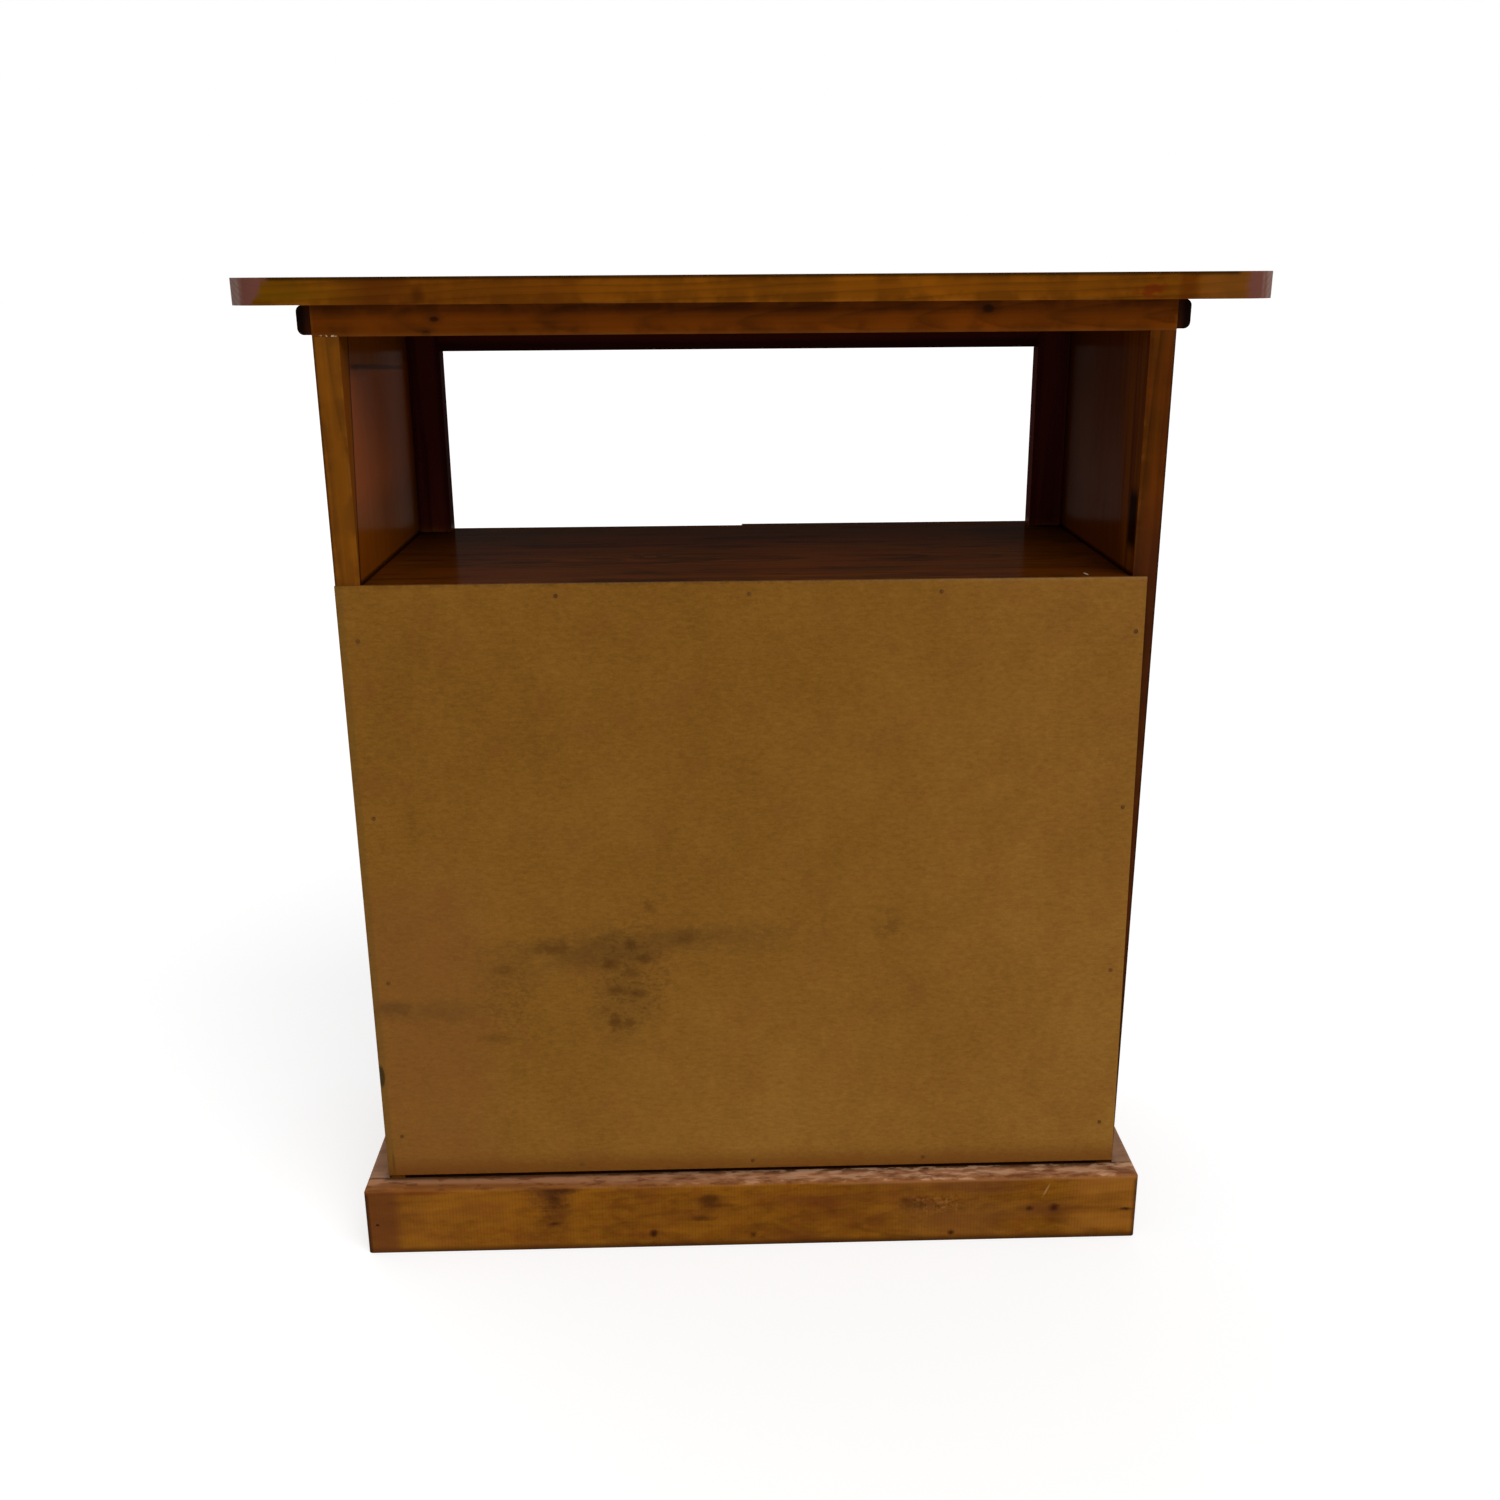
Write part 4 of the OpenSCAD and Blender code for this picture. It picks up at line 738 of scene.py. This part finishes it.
def hardboard():
    """The back panel: felted fibres, broad tones, a damp stain with drips, and worn edges."""
    g = Graph("hardboard")
    place_x, y, z = g.place()
    x = place_x - MIDDLE
    nx, _, nz = g.facing()
    broad = g.noise(x * 4.5, y * 4.5, z * 4.5, 3, 0.5)
    cloud = g.noise(x * 26 + 7, y * 26, z * 20, 3, 0.6)
    hue = g.noise(x * 34 + 2, y * 34, z * 30, 2, 0.6)
    fine = g.noise(x * 620, y * 620, z * 620, 2, 0.6)
    fibre = g.noise(x * 130 + 3, y * 130, z * 700, 2, 0.7)
    grain = g.noise(x * 150 + 9, y * 150, z * 290, 3, 0.7)
    tone = (broad - 0.5) * 0.6 + (cloud - 0.5) * 0.45 + (grain - 0.5) * 0.85
    tone = tone + (fine - 0.5) * 0.45 + (fibre - 0.5) * 0.4 + 0.5
    colour = g.ramp(tone, [
        (0.0, srgb(108, 68, 16)), (0.45, srgb(129, 85, 26)), (1.0, srgb(148, 102, 36))
    ])
    paler = g.ramp(tone, [
        (0.0, srgb(122, 80, 26)), (0.45, srgb(144, 98, 37)), (1.0, srgb(164, 116, 49))
    ])
    colour = g.blend(z.step(0.58, 0.10) * (0.68 - x.step(0.0, 0.10) * 0.29), colour, paler)
    colour = g.blend(x.step(-0.07, -0.32) * 0.65, colour, paler)
    colour = g.blend(x.step(0.19, 0.27) * z.step(0.40, 0.30) * 0.35, colour, srgb(132, 81, 40))
    colour = g.blend(hue.step(0.50, 0.72) * 0.22, colour, srgb(124, 72, 30))
    colour = g.blend(hue.step(0.46, 0.28) * 0.12, colour, srgb(118, 82, 22))

    def place(px, pz, wide, high, turn=0.0):
        return g.spot(x - px, z - pz, wide, high, turn)

    ragged = g.noise(x * 60, y * 60, z * 90, 4, 0.7)
    crumb = g.noise(x * 240, y * 240, z * 300, 2, 0.6)
    damp = 0.0
    for px, pz, wide, high, lean, strength in DAMP:
        reach = place(px, pz, wide, high, lean) + (ragged - 0.5) * 2.6
        damp = (reach.step(1.8, 0.2) * strength).at_least(damp)
    specks = place(0.104, 0.265, 0.036, 0.052).step(1.5, 0.4) * crumb.step(0.50, 0.66)
    damp = damp * (0.8 + crumb * 0.4)
    colour = g.blend(damp, colour, srgb(70, 48, 22))
    colour = g.blend(specks * 0.36, colour, srgb(76, 44, 10))
    mottled = place(0.210, 0.245, 0.026, 0.044).step(1.5, 0.4) * crumb.step(0.44, 0.66)
    colour = g.blend(mottled * 0.30, colour, srgb(90, 54, 14))
    for px, pz, wide, high, strength in DRIPS:
        reach = place(px, pz, wide, high) + (ragged - 0.5) * 3.2 + (crumb - 0.5) * 2.4
        colour = g.blend(reach.step(1.7, 0.2) * strength, colour, srgb(72, 38, 4))
    faint = place(-0.115, 0.311, 0.014, 0.016).step(1.3, 0.4) * ragged.step(0.4, 0.6)
    colour = g.blend(faint * 0.35, colour, srgb(84, 52, 16))
    chip = place(0.3285, 0.171, 0.0032, 0.011).step(1.2, 0.7)
    colour = g.blend(chip, colour, srgb(38, 24, 12))
    line = place(0.3245, 0.082, 0.0014, 0.013).step(1.2, 0.5)
    colour = g.blend(line * 0.5, colour, srgb(66, 38, 10))
    from_edge = (z - BACK_FOOT).at_most(SHELF_LEVEL - z).at_most(HALF_WIDTH - x)
    patchy = g.noise(x * 90, y * 90, z * 90, 3, 0.7)
    frayed = from_edge.step(0.0035, 0.0006) * patchy.step(0.42, 0.62)
    colour = g.blend(frayed * 0.35, colour, srgb(74, 46, 14))
    strip = (HALF_WIDTH - x).step(0.0075, 0.0045)
    colour = g.blend(strip * 0.35, colour, srgb(98, 74, 30))
    foot = z.step(0.094, 0.072)
    colour = g.blend(foot * 0.6, colour, srgb(106, 58, 18))
    rubbed = z.step(0.6075, 0.6105) * x.step(0.02, -0.30) * patchy.step(0.35, 0.5)
    colour = g.blend(rubbed * 0.5, colour, srgb(160, 116, 66))
    cut = abs(nx).at_least(abs(nz)).step(0.5, 0.9)
    colour = g.blend(cut * 0.7, colour, srgb(72, 46, 18))
    rough = 0.60 + (cloud - 0.5) * 0.2 + damp * 0.15 + cut * 0.2
    height = fine * 0.5 + fibre * 0.5
    return g.finish(colour, rough, height, 0.00012, Specular_IOR_Level=0.06)


def metal(name, bright, dull, stained, base_rough, seed, metallic=1.0, level=0.5):
    """Aged metal in three tones, duller where it is darker."""
    g = Graph(name)
    x, y, z = g.place()
    cloud = g.noise(x * 140 + seed, y * 140, z * 140, 4, 0.6)
    fine = g.noise(x * 1500, y * 1500 + seed, z * 1500, 2, 0.6)
    colour = g.ramp(cloud + (fine - 0.5) * 0.3, [(0.25, bright), (0.55, dull), (0.8, stained)])
    dark = cloud.step(0.50, 0.72)
    rough = base_rough + dark * 0.25 + (fine - 0.5) * 0.12
    return g.finish(
        colour, rough, fine + cloud, 0.00004, Metallic=metallic, Specular_IOR_Level=level,
    )


def plastic():
    """The catches' moulded housings."""
    g = Graph("brown_plastic")
    x, y, z = g.place()
    grain = g.noise(x * 1100, y * 1100, z * 1100, 2, 0.5)
    cloud = g.noise(x * 70, y * 70, z * 70, 3, 0.6)
    colour = g.ramp(cloud + (grain - 0.5) * 0.2, [(0.3, srgb(58, 34, 22)), (0.7, srgb(78, 50, 34))])
    rough = 0.42 + (grain - 0.5) * 0.25 + (cloud - 0.5) * 0.15
    return g.finish(colour, rough, grain, 0.00005)


dress(hardboard(), "back_panel")
BRASS = metal("aged_brass", srgb(178, 140, 78), srgb(142, 106, 54), srgb(78, 58, 34), 0.34, 5)
STEEL = metal("zinc_steel", srgb(176, 178, 180), srgb(140, 142, 144), srgb(92, 88, 82), 0.34, 9)
# The nails are dull all over, so they have no metal's shine
RUSTY = metal("rusty_nails", srgb(116, 78, 32), srgb(98, 62, 22), srgb(66, 38, 12), 0.6, 13,
              metallic=0.0, level=0.1)
FERRITE = metal("ferrite", srgb(70, 68, 66), srgb(54, 52, 50), srgb(38, 36, 34), 0.45, 17,
                metallic=0.4)
SUNKEN = metal("sunken_nails", srgb(70, 42, 18), srgb(52, 30, 12), srgb(34, 18, 6), 0.6, 15,
               metallic=0.0, level=0.1)
dress(BRASS, "left_hinge_frame_leaves", "right_hinge_frame_leaves", "left_hinge_door_leaves",
      "right_hinge_door_leaves", "left_hinge_pins", "right_hinge_pins", "hinge_frame_screws",
      "left_hinge_door_screws", "right_hinge_door_screws", "shelf_pegs")
dress(STEEL, "top_screws", "left_knob_screw", "right_knob_screw", "catch_screws",
      "left_strike_plate", "right_strike_plate", "left_strike_screws", "right_strike_screws")
dress(RUSTY, "back_panel_nails")
dress(SUNKEN, "plinth_nails")
dress(FERRITE, "catch_magnets")
dress(plastic(), "left_catch_housing", "right_catch_housing")


# Eased edges

# In degrees: faces that meet at less than the first are shaded as one, faces within the second are
# one flat face, and edges sharper than the third are eased
SMOOTH_BELOW = 32
FLAT_WITHIN = 1
EASE_ABOVE = 50
# Nodes by the width of their eased edges, in metres
EASED = {
    0.0016: ("top_plank_rear", "top_plank_middle", "top_plank_front"),
    0.0008: ("plinth_rear_board", "plinth_front_board", "plinth_left_board", "plinth_right_board",
             "left_side_panel", "right_side_panel", "bay_shelf", "bottom_board", "inner_shelf",
             "left_frame_stile", "right_frame_stile", "frame_top_rail", "frame_mid_rail",
             "frame_bottom_rail", "rear_top_rail", "plinth_glue_blocks"),
    0.0003: ("back_panel", "left_catch_housing", "right_catch_housing"),
}
for side in ("left", "right"):
    EASED[0.0008] += tuple(
        f"{side}_door_{part}" for part, _, _ in DOOR_BOARDS if part != "panel"
    )
    EASED[0.0003] += tuple(
        f"{side}_{part}" for part in ("strike_plate", "hinge_frame_leaves", "hinge_door_leaves")
    )

for obj in NODES.values():
    mesh = obj.data
    mesh.shade_smooth()
    mesh.set_sharp_from_angle(angle=math.radians(SMOOTH_BELOW))
for width, names in EASED.items():
    for name in names:
        obj = NODES[name]
        flat = obj.modifiers.new("Merge", "DECIMATE")
        flat.decimate_type = "DISSOLVE"
        flat.angle_limit = math.radians(FLAT_WITHIN)
        ease = obj.modifiers.new("Ease", "BEVEL")
        ease.width = width
        ease.segments = 3
        ease.limit_method = "ANGLE"
        ease.angle_limit = math.radians(EASE_ABOVE)
        ease.use_clamp_overlap = True
        ease.harden_normals = True
        level = obj.modifiers.new("Level", "WEIGHTED_NORMAL")
        level.keep_sharp = True


# Floor, light and camera

def shown_white(tree, share):
    """1 for rays that look at the background, by way of glass and metal too."""
    path = tree.nodes.new("ShaderNodeLightPath")
    total = path.outputs["Is Camera Ray"]
    for key in ("Is Glossy Ray", "Is Transmission Ray"):
        add = tree.nodes.new("ShaderNodeMath")
        add.operation = "MAXIMUM"
        tree.links.new(total, add.inputs[0])
        tree.links.new(path.outputs[key], add.inputs[1])
        total = add.outputs[0]
    scaled = tree.nodes.new("ShaderNodeMath")
    scaled.operation = "MULTIPLY"
    tree.links.new(total, scaled.inputs[0])
    scaled.inputs[1].default_value = share
    return scaled.outputs[0]


# The floor's colour under the lamps, how much white it adds where it is looked at, its half width
# in metres and how far it lies under the object, and the strength of the light from all round
FLOOR_SHARE = 0.50
FLOOR_GLOW = 0.60
FLOOR_REACH = 60.0
FLOOR_DROP = 0.0002
AMBIENT = 0.42

bm = bmesh.new()
bmesh.ops.create_grid(bm, x_segments=1, y_segments=1, size=FLOOR_REACH)
floor_mesh = bpy.data.meshes.new("floor")
bm.to_mesh(floor_mesh)
bm.free()
floor = bpy.data.objects.new("floor", floor_mesh)
floor.location.z = -FLOOR_DROP
bpy.context.scene.collection.objects.link(floor)

material = bpy.data.materials.new("floor")
material.use_nodes = True
tree = material.node_tree
tree.nodes.clear()
matt = tree.nodes.new("ShaderNodeBsdfDiffuse")
matt.inputs["Color"].default_value = (FLOOR_SHARE, FLOOR_SHARE, FLOOR_SHARE, 1)
glow = tree.nodes.new("ShaderNodeEmission")
tree.links.new(shown_white(tree, FLOOR_GLOW), glow.inputs["Strength"])
both = tree.nodes.new("ShaderNodeAddShader")
tree.links.new(matt.outputs[0], both.inputs[0])
tree.links.new(glow.outputs[0], both.inputs[1])
out = tree.nodes.new("ShaderNodeOutputMaterial")
tree.links.new(both.outputs[0], out.inputs["Surface"])
floor_mesh.materials.append(material)

world = bpy.data.worlds.new("studio")
bpy.context.scene.world = world
world.use_nodes = True
tree = world.node_tree
tree.nodes.clear()
soft = tree.nodes.new("ShaderNodeBackground")
soft.inputs["Color"].default_value = (1, 1, 1, 1)
soft.inputs["Strength"].default_value = AMBIENT
white = tree.nodes.new("ShaderNodeBackground")
white.inputs["Color"].default_value = (1, 1, 1, 1)
choose = tree.nodes.new("ShaderNodeMixShader")
tree.links.new(shown_white(tree, 1.0), choose.inputs[0])
tree.links.new(soft.outputs[0], choose.inputs[1])
tree.links.new(white.outputs[0], choose.inputs[2])
out = tree.nodes.new("ShaderNodeOutputWorld")
tree.links.new(choose.outputs[0], out.inputs["Surface"])


def sun(name, towards, strength, spread):
    """A distant soft lamp, spread over that many degrees; towards is where it stands."""
    data = bpy.data.lights.new(name, "SUN")
    data.energy = strength
    data.angle = math.radians(spread)
    lamp = bpy.data.objects.new(name, data)
    lamp.rotation_mode = "QUATERNION"
    lamp.rotation_quaternion = Vector(towards).to_track_quat("Z", "Y")
    bpy.context.scene.collection.objects.link(lamp)


sun("key", (-0.45, 0.75, 0.95), 1.75, 50)
sun("fill", (0.5, -0.8, 0.7), 0.7, 70)

# The camera that took the photograph: its turns in radians, its lens in millimetres and its place
YAW, PITCH, ROLL = -0.0259, -0.3092, 0.0067
FOCAL = 35.52
SENSOR_WIDTH = 36.0
EYE = (0.03747, 1.33434, 0.84287)
turn = Matrix.Rotation(YAW, 3, "Z") @ Matrix.Rotation(PITCH, 3, "X") @ Matrix.Rotation(ROLL, 3, "Y")
half_turn = Matrix.Rotation(math.pi, 3, "Z")
right, forward, up = (half_turn @ turn.col[i] for i in range(3))
pose = Matrix((right, up, -forward)).transposed().to_4x4()
pose.translation = EYE
camera_data = bpy.data.cameras.new("camera")
camera_data.lens = FOCAL
camera_data.sensor_width = SENSOR_WIDTH
camera_data.clip_start = 0.02
camera_data.clip_end = 200.0
camera = bpy.data.objects.new("camera", camera_data)
camera.matrix_world = pose
bpy.context.scene.collection.objects.link(camera)
bpy.context.scene.camera = camera
bpy.context.scene.view_settings.view_transform = "Standard"
